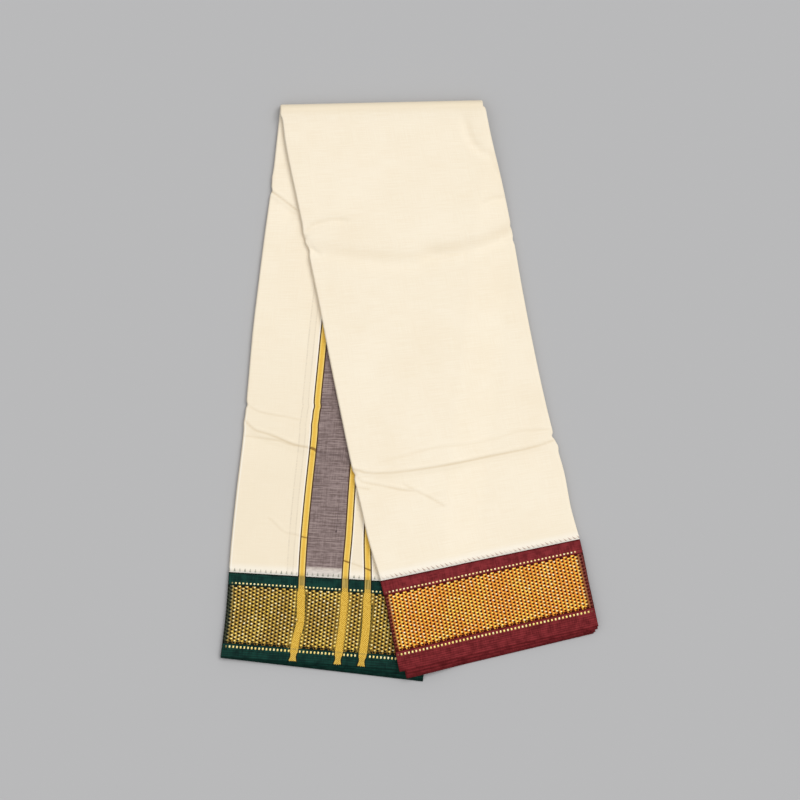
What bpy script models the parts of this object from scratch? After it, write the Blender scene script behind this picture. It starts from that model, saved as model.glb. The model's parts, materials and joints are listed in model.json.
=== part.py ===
"""A folded cotton dhoti cloth, modelled in metres with +Z up.

The cloth is one woven length, folded lengthwise four times into a strip of sixteen
layers. The strip is folded once across, so that an upper half lies on a lower half and
leans off it to the right. The lower half ends in a green border and the upper half in a
maroon one. Each half is a rounded stack, layered at its right side and at its hem.
"""

import math
from collections import namedtuple

import bmesh
import bpy

MM = 0.001

# Driving sizes
GROUND_STACK = 7.0 * MM
BORDER_STACK = 7.8 * MM
STACK_CHANGE = 25.0 * MM
LAYERS = 16
SEAM_GAP = 0.3 * MM
HALVES_GAP = 0.5 * MM
SIDE_ROUND = 3.4 * MM
RIGHT_ROUND_SHARE = 0.45
LOWER_LENGTH = 620.0 * MM
UPPER_LENGTH = 640.0 * MM

# The upper half leaves the lower one past its right edge and reaches the surface
SLUMP_START = 3.0 * MM
SLUMP_RUN = 46.0 * MM

# Share of each half, from the fold's axis to the hem, at which its border is joined on
LOWER_SEAM = 0.846
UPPER_SEAM = 0.834

COLUMNS = 17
LEFT_STEPS = 5
FOLD_STEPS = 7
HEM_TREADS = 5
RISER_SHARE = 0.03

# Outline of each half: a row for each section, with its two ends in millimetres
Section = namedtuple("Section", "share left_x left_y right_x right_y")
LOWER_SECTIONS = (
    Section(0.00, -145.5, 313.7, 82.1, 318.7),
    Section(0.12, -153.8, 240.1, 74.1, 242.5),
    Section(0.22, -162.3, 178.8, 67.5, 179.0),
    Section(0.40, -176.0, 68.4, 55.5, 64.7),
    Section(0.50, -181.5, 7.1, 48.9, 1.2),
    Section(0.60, -187.3, -54.2, 42.3, -62.3),
    Section(0.80, -200.9, -176.8, 29.0, -189.3),
    Section(0.92, -206.2, -250.3, 21.0, -265.5),
    Section(1.00, -212.3, -299.4, 15.7, -316.3),
)
UPPER_SECTIONS = (
    Section(0.00, -143.7, 313.7, 85.2, 318.7),
    Section(0.06, -139.0, 275.8, 91.2, 283.5),
    Section(0.15, -126.8, 219.1, 103.5, 230.8),
    Section(0.25, -113.2, 156.0, 115.4, 172.2),
    Section(0.35, -100.1, 93.0, 126.0, 113.6),
    Section(0.45, -88.0, 29.9, 137.3, 55.0),
    Section(0.55, -75.8, -33.2, 149.7, -3.7),
    Section(0.64, -64.0, -89.9, 161.9, -56.4),
    Section(0.70, -54.7, -127.7, 171.7, -91.6),
    Section(0.77, -45.1, -171.9, 179.7, -132.6),
    Section(0.834, -32.5, -214.7, 190.3, -167.8),
    Section(0.92, -22.3, -267.6, 203.3, -220.0),
    Section(1.00, -11.1, -316.9, 212.5, -268.5),
)

# Groups of layers at the right side, from the inside of the fold outwards:
# how many layers each holds, and how far it stops short of the edge in millimetres
Group = namedtuple("Group", "layers short")
RIGHT_GROUPS = (
    Group(1, 4.2),
    Group(1, 2.9),
    Group(2, 1.6),
    Group(4, 0.7),
    Group(8, 0.0),
)

# Creases: shares along the half where each starts and ends, shares across it, bow of its
# middle towards the hem, and depth and half width in millimetres
Crease = namedtuple("Crease", "along_start along_end across_start across_end bow depth spread")
LOWER_CREASES = (
    Crease(0.145, 0.175, -0.05, 0.14, 0.000, 1.4, 4.0),
    Crease(0.535, 0.560, -0.05, 0.22, 0.000, 0.8, 6.0),
    Crease(0.570, 0.615, -0.05, 0.40, 0.008, 1.0, 5.0),
    Crease(0.755, 0.775, 0.12, 0.40, 0.004, 0.7, 5.0),
)
UPPER_CREASES = (
    Crease(0.030, 0.125, 0.84, 1.05, 0.000, 1.4, 6.0),
    Crease(0.235, 0.255, -0.05, 1.05, 0.018, 1.6, 11.0),
    Crease(0.615, 0.612, 0.20, 1.05, 0.004, 0.8, 7.0),
    Crease(0.642, 0.640, -0.05, 1.05, 0.012, 1.6, 6.0),
    Crease(0.645, 0.700, -0.05, 0.45, 0.000, 1.0, 6.0),
)

# Where the rings of each stretch stand, closer together at the creases
LOWER_GROUND_RINGS = (0.03, 0.09, 0.135, 0.15, 0.165, 0.185, 0.24, 0.32, 0.40, 0.47, 0.52,
                      0.54, 0.56, 0.58, 0.60, 0.62, 0.67, 0.72, 0.75, 0.77, 0.79, 0.82)
UPPER_GROUND_RINGS = (0.02, 0.045, 0.07, 0.10, 0.13, 0.17, 0.21, 0.235, 0.25, 0.265, 0.285,
                      0.32, 0.38, 0.44, 0.50, 0.56, 0.595, 0.61, 0.625, 0.64, 0.652, 0.665,
                      0.685, 0.71, 0.75, 0.79)
BORDER_RINGS = (0.25, 0.5, 0.75)

# How far the lowest layer's hem passes the top one's, at its left and right ends, and how
# far those ends draw in towards the middle
LOWER_FAN = (1.5 * MM, 9.0 * MM)
LOWER_DRAW_IN = (0.0 * MM, 0.0 * MM)
UPPER_FAN = (8.0 * MM, 4.0 * MM)
UPPER_DRAW_IN = (9.0 * MM, 6.0 * MM)

# Colours, roughness and metallic value
CREAM = (0.930, 0.855, 0.680, 1.0)
GREEN = (0.022, 0.060, 0.040, 1.0)
MAROON = (0.170, 0.018, 0.021, 1.0)
COTTON_ROUGHNESS = 0.85
BORDER_ROUGHNESS = 0.60
CLOTH_METALLIC = 0.0


def clear_scene():
    """Remove every object of the scene that is open."""
    for obj in list(bpy.data.objects):
        bpy.data.objects.remove(obj, do_unlink=True)


def smooth(value):
    """Ease from 0 to 1 with a level start and end."""
    held = min(max(value, 0.0), 1.0)
    return held * held * (3.0 - 2.0 * held)


def mix(start, end, share):
    """The value a share of the way from start to end."""
    return start + (end - start) * share


def through(rows, column, share):
    """One column of a section table at a share of the half, on a curve through its rows."""
    last = len(rows) - 1
    step = 0
    while step < last - 1 and share > rows[step + 1].share:
        step += 1
    here = rows[step]
    after = rows[step + 1]
    width = after.share - here.share

    def slope(index):
        before_row = rows[max(index - 1, 0)]
        after_row = rows[min(index + 1, last)]
        rise = getattr(after_row, column) - getattr(before_row, column)
        return rise / (after_row.share - before_row.share)

    t = (share - here.share) / width
    value_start = getattr(here, column)
    value_end = getattr(after, column)
    lead = width * slope(step)
    trail = width * slope(step + 1)
    return ((2 * t**3 - 3 * t**2 + 1) * value_start + (t**3 - 2 * t**2 + t) * lead
            + (3 * t**2 - 2 * t**3) * value_end + (t**3 - t**2) * trail)


def section_ends(rows, share):
    """The left and right ends of a section, as two points in metres."""
    left = tuple(through(rows, column, share) * MM for column in ("left_x", "left_y"))
    right = tuple(through(rows, column, share) * MM for column in ("right_x", "right_y"))
    return left, right


def point_across(ends, spot):
    """A point of the plan: spot is (share across, metres added towards the right)."""
    (left_x, left_y), (right_x, right_y) = ends
    share, shift = spot
    width = math.hypot(right_x - left_x, right_y - left_y)
    whole = share + shift / width
    return mix(left_x, right_x, whole), mix(left_y, right_y, whole)


def stack_height(share, seam, length):
    """Thickness of the sixteen layers: the borders' gold thread makes them thicker."""
    into_border = (share - seam) * length / STACK_CHANGE
    return mix(GROUND_STACK, BORDER_STACK, smooth(into_border))


def crease_depth(creases, along, across, length):
    """How far the outer face is pressed in at a place of a half."""
    depth = 0.0
    for crease in creases:
        reach = (across - crease.across_start) / (crease.across_end - crease.across_start)
        if not 0.0 < reach < 1.0:
            continue
        line = mix(crease.along_start, crease.along_end, reach)
        line += crease.bow * math.sin(math.pi * reach)
        away = (along - line) * length / (crease.spread * MM)
        depth += crease.depth * MM * math.sin(math.pi * reach) ** 0.5 * math.exp(-away * away)
    return depth


def lower_right_distance(x, y):
    """Distance from the lower half's right edge, positive outside it."""
    top = LOWER_SECTIONS[0]
    foot = LOWER_SECTIONS[-1]
    along_x = (foot.right_x - top.right_x) * MM
    along_y = (foot.right_y - top.right_y) * MM
    from_x = x - top.right_x * MM
    from_y = y - top.right_y * MM
    return (along_x * from_y - along_y * from_x) / math.hypot(along_x, along_y)


def lower_top(y):
    """Height of the lower half's top face at a place along it."""
    top = LOWER_SECTIONS[0].right_y * MM
    foot = LOWER_SECTIONS[-1].right_y * MM
    return stack_height((top - y) / (top - foot), LOWER_SEAM, LOWER_LENGTH)


def resting_height(x, y):
    """Height of whatever the upper half rests on: the lower half, a slope, the surface."""
    down = smooth((lower_right_distance(x, y) - SLUMP_START) / SLUMP_RUN)
    return (lower_top(y) + HALVES_GAP) * (1.0 - down)


def right_profile():
    """The layered right side, from the inner face to the outer one, as (shift, level)."""
    spots = []
    level = 0.0
    for group in RIGHT_GROUPS:
        top = level + group.layers / LAYERS
        rounding = RIGHT_ROUND_SHARE * (top - level) * GROUND_STACK
        edge = -group.short * MM
        spots += [(edge - rounding, level), (edge, mix(level, top, 0.25)),
                  (edge, mix(level, top, 0.75)), (edge - rounding, top)]
        level = top
    return spots


def left_profile():
    """The rounded left side, from the outer face to the inner one, as (shift, level)."""
    spots = []
    for step in range(LEFT_STEPS):
        angle = math.pi * (step + 1) / (LEFT_STEPS + 1)
        spots.append((SIDE_ROUND * (1.0 - math.sin(angle)), 0.5 + 0.5 * math.cos(angle)))
    return spots


def face_spots():
    """Places across the flat faces, from left to right, as (share, shift)."""
    first_right, last_right = right_profile()[0][0], right_profile()[-1][0]
    inner = []
    outer = []
    for step in range(COLUMNS):
        share = step / COLUMNS
        inner.append((share, mix(SIDE_ROUND, first_right, share)))
        outer.append((share, mix(SIDE_ROUND, last_right, share)))
    return inner, outer


def ring_spots():
    """Every place round a section, as (share, shift, level), inner face first."""
    inner, outer = face_spots()
    spots = [(share, shift, 0.0) for share, shift in inner]
    spots += [(1.0, shift, level) for shift, level in right_profile()]
    spots += [(share, shift, 1.0) for share, shift in reversed(outer)]
    spots += [(0.0, shift, level) for shift, level in left_profile()]
    return spots


def fanned(ends, fan, draw_in, fan_share):
    """The ends of a section of a lower layer, which passes the top one at the hem."""
    left = point_across(ends, (0.0, draw_in[0] * fan_share))
    right = point_across(ends, (1.0, -draw_in[1] * fan_share))
    return ((left[0], left[1] - fan[0] * fan_share), (right[0], right[1] - fan[1] * fan_share))


def lower_ring(share, height_share=1.0, fan_share=0.0):
    """A ring of the lower half, whose outer face lies flat on the surface."""
    ends = section_ends(LOWER_SECTIONS, share)
    ends = fanned(ends, LOWER_FAN, LOWER_DRAW_IN, fan_share)
    stack = stack_height(share, LOWER_SEAM, LOWER_LENGTH) * height_share
    ring = []
    for across, shift, level in ring_spots():
        x, y = point_across(ends, (across, shift))
        dent = 0.0
        if height_share == 1.0:
            dent = crease_depth(LOWER_CREASES, share, across, LOWER_LENGTH)
        ring.append((x, y, (stack - dent) * (1.0 - level)))
    return ring


def upper_ring(share, height_share=1.0, fan_share=0.0):
    """A ring of the upper half, lying on the lower half and on the surface beside it."""
    ends = section_ends(UPPER_SECTIONS, share)
    ends = fanned(ends, UPPER_FAN, UPPER_DRAW_IN, fan_share)
    stack = stack_height(share, UPPER_SEAM, UPPER_LENGTH) * height_share
    ring = []
    for across, shift, level in ring_spots():
        x, y = point_across(ends, (across, shift))
        dent = 0.0
        if height_share == 1.0:
            dent = crease_depth(UPPER_CREASES, share, across, UPPER_LENGTH)
        ring.append((x, y, resting_height(x, y) + (stack - dent) * level))
    return ring


def fold_ring(angle):
    """A ring of the bend at the top, at an angle from its lower end (-90) to its upper (90)."""
    ends = section_ends(UPPER_SECTIONS, 0.0)
    (left_x, left_y), (right_x, right_y) = ends
    width = math.hypot(right_x - left_x, right_y - left_y)
    out_x = -(right_y - left_y) / width
    out_y = (right_x - left_x) / width
    inner_radius = 0.5 * HALVES_GAP
    axis_height = GROUND_STACK + inner_radius
    ring = []
    for across, shift, level in ring_spots():
        x, y = point_across(ends, (across, shift))
        radius = inner_radius + GROUND_STACK * level
        reach = radius * math.cos(angle)
        ring.append((x + out_x * reach, y + out_y * reach, axis_height + radius * math.sin(angle)))
    return ring


def hem_rings(ring_at, share):
    """Rings of a stepped hem: at each tread the stack loses height and reaches further."""
    rings = []
    for tread in range(1, HEM_TREADS):
        kept = 1.0 - tread / HEM_TREADS
        before = (tread - 1) / (HEM_TREADS - 1)
        rings.append(ring_at(share, kept, before + RISER_SHARE))
        rings.append(ring_at(share, kept, tread / (HEM_TREADS - 1)))
    return rings


def cap_faces(first, turned):
    """Faces that close one end of a stack, whose ring starts at vertex number first."""
    right_count = len(right_profile())
    left_count = len(left_profile())
    outer_last = COLUMNS + right_count
    faces = []

    def outer(column):
        return outer_last + COLUMNS - 1 - column

    for column in range(COLUMNS - 1):
        faces.append([column, column + 1, outer(column + 1), outer(column)])
    right_side = range(COLUMNS, COLUMNS + right_count)
    faces.append([COLUMNS - 1, *right_side, outer(COLUMNS - 1)])
    left_side = range(outer(0) + 1, outer(0) + 1 + left_count)
    faces.append([outer(0), *left_side, 0])
    numbered = [[first + index for index in face] for face in faces]
    return [face[::-1] for face in numbered] if turned else numbered


def finish(name, colour, roughness):
    """A Principled material with one colour."""
    material = bpy.data.materials.new(name)
    material.use_nodes = True
    shader = material.node_tree.nodes["Principled BSDF"]
    shader.inputs["Base Color"].default_value = colour
    shader.inputs["Roughness"].default_value = roughness
    shader.inputs["Metallic"].default_value = CLOTH_METALLIC
    return material


def stack_solid(name, rings, material):
    """One closed solid through a row of rings."""
    count = len(rings[0])
    body = bmesh.new()
    points = [body.verts.new(point) for ring in rings for point in ring]
    for row in range(len(rings) - 1):
        for step in range(count):
            after = (step + 1) % count
            corners = (row * count + step, row * count + after,
                       (row + 1) * count + after, (row + 1) * count + step)
            body.faces.new([points[corner] for corner in corners])
    last = (len(rings) - 1) * count
    for face in cap_faces(0, True) + cap_faces(last, False):
        body.faces.new([points[corner] for corner in face])
    bmesh.ops.recalc_face_normals(body, faces=body.faces)
    mesh = bpy.data.meshes.new(name)
    body.to_mesh(mesh)
    body.free()
    mesh.materials.append(material)
    mesh.shade_smooth()
    mesh.set_sharp_from_angle(angle=math.radians(40.0))
    solid = bpy.data.objects.new(name, mesh)
    bpy.context.scene.collection.objects.link(solid)
    return solid


def border_shares(seam, length):
    """Where the rings of a border stand, from just past its seam to its hem."""
    start = seam + 0.5 * SEAM_GAP / length
    return [start] + [mix(seam, 1.0, part) for part in BORDER_RINGS] + [1.0]


def build_lower_half(cream, green):
    """The cream stack underneath and its green border."""
    seam_end = LOWER_SEAM - 0.5 * SEAM_GAP / LOWER_LENGTH
    fold_end = SEAM_GAP / LOWER_LENGTH
    shares = [fold_end, *LOWER_GROUND_RINGS, seam_end]
    stack_solid("lower_ground", [lower_ring(share) for share in shares], cream)
    rings = [lower_ring(share) for share in border_shares(LOWER_SEAM, LOWER_LENGTH)]
    stack_solid("green_border", rings + hem_rings(lower_ring, 1.0), green)


def build_upper_half(cream, maroon):
    """The top fold, the cream stack on top and its maroon border."""
    seam_end = UPPER_SEAM - 0.5 * SEAM_GAP / UPPER_LENGTH
    angles = [math.radians(mix(-90.0, 90.0, step / FOLD_STEPS)) for step in range(FOLD_STEPS + 1)]
    rings = [fold_ring(angle) for angle in angles]
    rings += [upper_ring(share) for share in [*UPPER_GROUND_RINGS, seam_end]]
    stack_solid("upper_ground", rings, cream)
    rings = [upper_ring(share) for share in border_shares(UPPER_SEAM, UPPER_LENGTH)]
    stack_solid("maroon_border", rings + hem_rings(upper_ring, 1.0), maroon)


def main():
    """Build the four solids of the folded cloth."""
    clear_scene()
    cream = finish("cream_cotton", CREAM, COTTON_ROUGHNESS)
    green = finish("green_border_cotton", GREEN, BORDER_ROUGHNESS)
    maroon = finish("maroon_border_cotton", MAROON, BORDER_ROUGHNESS)
    build_lower_half(cream, green)
    build_upper_half(cream, maroon)


main()
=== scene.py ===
"""Finishes a folded dhoti cloth: woven cotton sheets, gold thread repeats and a soft studio.

The cloth is one woven length, folded lengthwise into sixteen layers and then once across.
A place on it is given by its run, which goes from the green hem over the top fold to the
maroon hem, and by its place on the path that the cloth takes through its layers. Layers are
counted from the inside of the top fold outwards. Lengths are in metres.
"""

import json
import logging
import math
from dataclasses import dataclass, replace
from enum import Enum
from functools import reduce
from typing import Sequence, Union

import bpy
import numpy as np
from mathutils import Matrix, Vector

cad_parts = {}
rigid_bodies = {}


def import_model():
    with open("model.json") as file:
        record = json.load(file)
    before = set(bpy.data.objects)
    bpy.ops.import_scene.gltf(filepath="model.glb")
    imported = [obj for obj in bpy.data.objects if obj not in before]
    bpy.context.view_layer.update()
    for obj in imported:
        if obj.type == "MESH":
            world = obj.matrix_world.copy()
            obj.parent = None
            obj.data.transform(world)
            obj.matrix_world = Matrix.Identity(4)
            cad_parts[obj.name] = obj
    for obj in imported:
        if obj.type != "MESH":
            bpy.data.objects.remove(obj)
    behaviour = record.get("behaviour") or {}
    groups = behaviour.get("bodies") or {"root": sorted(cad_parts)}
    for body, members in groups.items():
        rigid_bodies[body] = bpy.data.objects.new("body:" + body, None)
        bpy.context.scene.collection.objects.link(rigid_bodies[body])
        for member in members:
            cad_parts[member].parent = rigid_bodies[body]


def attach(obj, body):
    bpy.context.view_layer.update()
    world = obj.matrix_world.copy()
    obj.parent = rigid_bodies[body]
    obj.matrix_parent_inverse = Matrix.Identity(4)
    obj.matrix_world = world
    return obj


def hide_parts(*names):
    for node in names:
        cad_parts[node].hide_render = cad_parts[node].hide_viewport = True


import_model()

MM = 0.001
BODY = "root"
UV_NAME = "Cloth"

# The cloth and its stack of layers
LAYERS = 16
FOLDS = 4
CLOTH_THICKNESS = 0.25 * MM
GROUND_STACK = 7.0 * MM
BORDER_STACK = 7.8 * MM
STACK_CHANGE = 25.0 * MM
HALVES_GAP = 0.5 * MM
SIDE_ROUND = 1.8 * MM
HEM_STEP = 0.04
CREASE_FADE = 0.16
CREASE_UNEVEN = 0.16
CREASE_BEATS = 11.0
CREASE_MARGIN = 45.0 * MM
FOLD_BULGE = 1.4 * MM
FOLD_BULGE_REACH = 11.0 * MM
LOWER_LENGTH = 620.0 * MM
FOLD_LENGTH = 11.0 * MM
UPPER_LENGTH = 640.0 * MM
CLOTH_WIDTH = LOWER_LENGTH + FOLD_LENGTH + UPPER_LENGTH
STRIP_WIDTH = 228.0 * MM
SLUMP_START = 3.0 * MM
SLUMP_RUN = 46.0 * MM
EDGE_REACH = 12.0 * MM
LOWER_SEAM = 0.8444
UPPER_SEAM = 0.8326

# The waves of the faces' faint unevenness: height, turns along X and Y, and start, and their sum
WAVES = ((1.0, 41.0, 23.0, 0.0), (0.8, -19.0, 57.0, 1.0), (0.6, 93.0, -31.0, 2.0),
         (0.5, 47.0, 117.0, 0.0))
WAVES_SUM = 2.9

# The finer rows at the top fold: how far before and after it, and their distance
FOLD_ROWS = (4.0 * MM, 15.0 * MM, 1.2 * MM)

# The light that a level surface gets, as a multiple of a white world's
LEVEL_LIGHT = 1.15

# Numbers of the sockets of a Mix node for colours
MIX_SHARE, MIX_FIRST, MIX_SECOND, MIX_RESULT = 0, 6, 7, 2

Array = np.ndarray
Piece = bpy.types.Object
Finish = bpy.types.Material
Socket = bpy.types.NodeSocket
Value = Union[float, Socket]


@dataclass(frozen=True)
class Shade:
    """A colour as it looks in the studio's light, in steps of 255.

    Args:
        red: Red step.
        green: Green step.
        blue: Blue step.
    """

    red: float
    green: float
    blue: float

    def albedo(self) -> tuple[float, float, float, float]:
        """The surface colour that looks like this shade in the studio.

        Returns:
            A linear colour with alpha.
        """
        parts = []
        for step in (self.red, self.green, self.blue):
            level = step / 255.0
            linear = level / 12.92 if level <= 0.04045 else ((level + 0.055) / 1.055) ** 2.4
            parts.append(linear / LEVEL_LIGHT)
        return (*parts, 1.0)


@dataclass(frozen=True)
class Section:
    """One line across a half, with its two ends in millimetres.

    Args:
        share: Place along the half, from the top fold to the hem.
        left_x: X of the left end.
        left_y: Y of the left end.
        right_x: X of the right end.
        right_y: Y of the right end.
    """

    share: float
    left_x: float
    left_y: float
    right_x: float
    right_y: float


def smooth(value: Array) -> Array:
    """Ease from 0 to 1 with a level start and end.

    Args:
        value: Values of which those outside 0 to 1 are held.

    Returns:
        The eased values.
    """
    held = np.clip(value, 0.0, 1.0)
    return held * held * (3.0 - 2.0 * held)


@dataclass(frozen=True)
class Crease:
    """A crease along a line on the plan, which fades out towards its two ends.

    Args:
        points: Its points, as X and Y in millimetres, placed from left to right.
    """

    points: tuple[tuple[float, float], ...]

    def curve(self) -> Array:
        """The line as a smooth row of points through its own points.

        Returns:
            The points, in metres.
        """
        rows = np.array(self.points) * MM
        padded = np.vstack([2.0 * rows[0] - rows[1], rows, 2.0 * rows[-1] - rows[-2]])
        steps = np.linspace(0.0, 1.0, 5)[:-1, None]
        parts = [self.span(padded[index:index + 4], steps) for index in range(len(rows) - 1)]
        return np.vstack([*parts, rows[-1:]])

    @staticmethod
    def span(four: Array, t: Array) -> Array:
        """Points between the middle two of four points, on a smooth curve.

        Args:
            four: The points.
            t: Shares of the way between the middle two.

        Returns:
            The points there.
        """
        before, start, end, after = four
        return 0.5 * (2.0 * start + (end - before) * t
                      + (2.0 * before - 5.0 * start + 4.0 * end - after) * t**2
                      + (3.0 * start - before - 3.0 * end + after) * t**3)

    def measure(self, x: Array, y: Array) -> tuple[Array, Array]:
        """How far places lie from the line, and how strong the crease is beside them.

        Args:
            x: X of the places.
            y: Y of the places.

        Returns:
            The distance, positive on the hem's side, and the strength from 0 to 1.
        """
        curve = self.curve()
        aside = np.full(x.shape, np.inf)
        part = np.zeros(x.shape)
        last = len(curve) - 1
        for index in range(last):
            (start_x, start_y), (end_x, end_y) = curve[index], curve[index + 1]
            step_x, step_y = end_x - start_x, end_y - start_y
            square = step_x**2 + step_y**2
            along = np.clip(((x - start_x) * step_x + (y - start_y) * step_y) / square, 0.0, 1.0)
            off_x, off_y = x - start_x - along * step_x, y - start_y - along * step_y
            side = np.where(step_y * off_x - step_x * off_y >= 0.0, 1.0, -1.0)
            away = side * np.hypot(off_x, off_y)
            nearer = np.abs(away) < np.abs(aside)
            aside = np.where(nearer, away, aside)
            part = np.where(nearer, (index + along) / last, part)
        fade = smooth(part / CREASE_FADE) * smooth((1.0 - part) / CREASE_FADE)
        beat = 1.0 + np.sin(CREASE_BEATS * part + self.points[0][0])
        return aside, fade * (1.0 - CREASE_UNEVEN * beat)


@dataclass(frozen=True)
class Trough(Crease):
    """A soft trough across a half.

    Args:
        points: Where it runs.
        depth: Depth in millimetres.
        before: Half width on the top fold's side, in millimetres.
        after: Half width on the hem's side, in millimetres.
    """

    depth: float
    before: float
    after: float

    def row_step(self) -> float:
        """How far apart rows may stand on it."""
        return 0.3 * min(self.before, self.after) * MM

    def shade_and_wear(self, aside: Array) -> Array:
        """How much painted shade its shaded side puts in the thread's colour."""
        return 0.14 * self.depth * np.exp(-((aside / MM / self.before + 0.55) / 0.5) ** 2)

    def reach(self) -> float:
        """How far it reaches from its line."""
        return 1.6 * max(self.before, self.after) * MM

    def relief(self, aside: Array) -> Array:
        """How far it presses the face in, by the distance from its line."""
        spread = np.where(aside < 0.0, self.before, self.after) * MM
        return self.depth * MM * np.exp(-(aside / spread) ** 2)


@dataclass(frozen=True)
class SharpFold(Crease):
    """A crisp fold line: the face rises to a lip, drops at the line and comes back slowly.

    Args:
        points: Where it runs.
        drop: How far the face drops, in millimetres.
        lip: Height of the lip, in millimetres.
        sharp: Half width of the drop, in millimetres.
        recover: How far the drop lasts, in millimetres.
    """

    drop: float
    lip: float
    sharp: float = 1.2
    recover: float = 12.0

    def row_step(self) -> float:
        """How far apart rows may stand on it."""
        return 0.62 * self.sharp * MM

    def shade_and_wear(self, aside: Array) -> Array:
        """How much painted shade, with some rubbing, it puts in the thread's colour, by the distance
        from its line.
        """
        return min(1.5 * self.drop, 1.0) * np.exp(-((aside / MM - 0.3) / (0.85 * self.sharp)) ** 2)

    def reach(self) -> float:
        """How far its crisp part reaches from its line."""
        return 3.0 * self.sharp * MM

    def relief(self, aside: Array) -> Array:
        """How far it presses the face in.

        Args:
            aside: The distance from its line.

        Returns:
            The depth, in metres.
        """
        far = np.clip(aside / MM, -50.0, 50.0)
        step = 0.5 * (1.0 + np.tanh(1.6 * far / self.sharp))
        back = np.exp(-np.maximum(far, 0.0) / self.recover)
        lip = np.exp(-((far + 1.7 * self.sharp) / self.sharp) ** 2)
        return MM * (self.drop * step * back - self.lip * lip)


class Side(Enum):
    """A side edge of a half."""

    LEFT = "left"
    RIGHT = "right"


@dataclass(frozen=True)
class Nick:
    """A small dent in a side edge, where a crease reaches it.

    Args:
        side: Which edge.
        y: Y of its middle, in millimetres.
        depth: How far the edge is pushed in, in millimetres, negative where it stands out.
        spread: Half width, in millimetres.
    """

    side: Side
    y: float
    depth: float
    spread: float


@dataclass(frozen=True)
class StripePlace:
    """Where the end stripes run at one place of the cloth, measured from the left fold.

    Args:
        run: Run of the place in millimetres.
        first: Distance of the first stripe's middle in millimetres.
        second: Distance of the second stripe's middle in millimetres.
        third: Distance of the third stripe's middle in millimetres.
    """

    run: float
    first: float
    second: float
    third: float


@dataclass(frozen=True)
class HemStep:
    """A step of the layer ends at the hem.

    Args:
        below: Where it starts, as a share of the stack below the face that shows.
        passed: The part of the fan that it adds.
        left: The part of the left draw-in that it adds.
        right: The part of the right draw-in that it adds.
    """

    below: float
    passed: float
    left: float
    right: float


@dataclass(frozen=True)
class Group:
    """Layers that end together at the right side.

    Args:
        layers: How many layers it holds.
        short: How far it stops short of the edge, in millimetres.
        bulge: How far its outermost fold rounds out, in millimetres.
    """

    layers: int
    short: float
    bulge: float


LOWER_SECTIONS = tuple(Section(*row) for row in (
    (0.00, -145.5, 313.7, 82.1, 318.7),
    (0.06, -149.6, 276.9, 78.1, 280.6),
    (0.12, -153.8, 240.1, 74.1, 242.5),
    (0.22, -162.3, 178.8, 67.5, 179.0),
    (0.30, -168.6, 129.7, 62.2, 128.2),
    (0.40, -176.0, 68.4, 55.5, 64.7),
    (0.50, -181.5, 7.1, 48.9, 1.2),
    (0.60, -187.3, -54.2, 42.3, -62.3),
    (0.70, -194.7, -115.5, 35.6, -125.8),
    (0.80, -200.9, -176.8, 29.0, -189.3),
    (0.92, -206.2, -250.3, 21.0, -265.5),
    (1.00, -212.3, -299.4, 15.7, -316.3),
))
UPPER_SECTIONS = tuple(Section(*row) for row in (
    (0.00, -143.7, 313.7, 85.2, 318.7),
    (0.06, -139.0, 275.8, 92.4, 283.5),
    (0.15, -127.4, 219.1, 105.0, 230.8),
    (0.25, -113.8, 156.0, 116.9, 172.2),
    (0.35, -100.7, 93.0, 127.2, 113.6),
    (0.45, -88.6, 29.9, 138.5, 55.0),
    (0.55, -75.8, -33.2, 151.0, -3.7),
    (0.64, -64.0, -89.9, 164.0, -56.4),
    (0.70, -55.3, -127.7, 174.1, -91.6),
    (0.77, -45.1, -171.9, 182.0, -132.6),
    (0.834, -32.5, -214.7, 191.8, -167.8),
    (0.92, -22.3, -267.6, 203.8, -218.4),
    (1.00, -12.4, -315.9, 213.8, -264.5),
))

LOWER_CREASES = (
    SharpFold(((-168, 232), (-155.6, 224.2), (-145.5, 217.5), (-130.8, 206.2),
               (-122, 200)), 0.8, 0.5),
    Trough(((-168, 222), (-145.5, 208), (-126, 194)), 0.8, 4, 12),
    SharpFold(((-196, -8), (-182, -15.4), (-168, -24), (-136.5, -30), (-118, -34)),
              0.26, 0.15),
    SharpFold(((-196, -22), (-183.4, -34.9), (-173.8, -44), (-162.1, -47.8),
               (-149.2, -52.4), (-135, -58.8), (-124.7, -62), (-107.9, -65.2),
               (-100.1, -70), (-70.4, -73.7), (-46, -77)), 0.72, 0.35, 1.4),
    SharpFold(((-196, -49), (-186.7, -50.4), (-164.7, -53.6), (-149.2, -55.6),
               (-135, -60.7), (-120, -64.5)), 0.4, 0.1, 1.4),
    Trough(((-192, -44), (-155.6, -62), (-112.8, -75), (-60, -86)), 0.8, 6, 15),
    SharpFold(((-160, -141), (-152.2, -147.8), (-141, -158.9), (-128.6, -161.7),
               (-117.3, -165), (-100, -168)), 0.24, 0.32),
    SharpFold(((-82, -188), (-70.8, -192), (-58, -196.5), (-46.7, -200.7),
               (-36, -205)), 0.4, 0.15),
)
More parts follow.
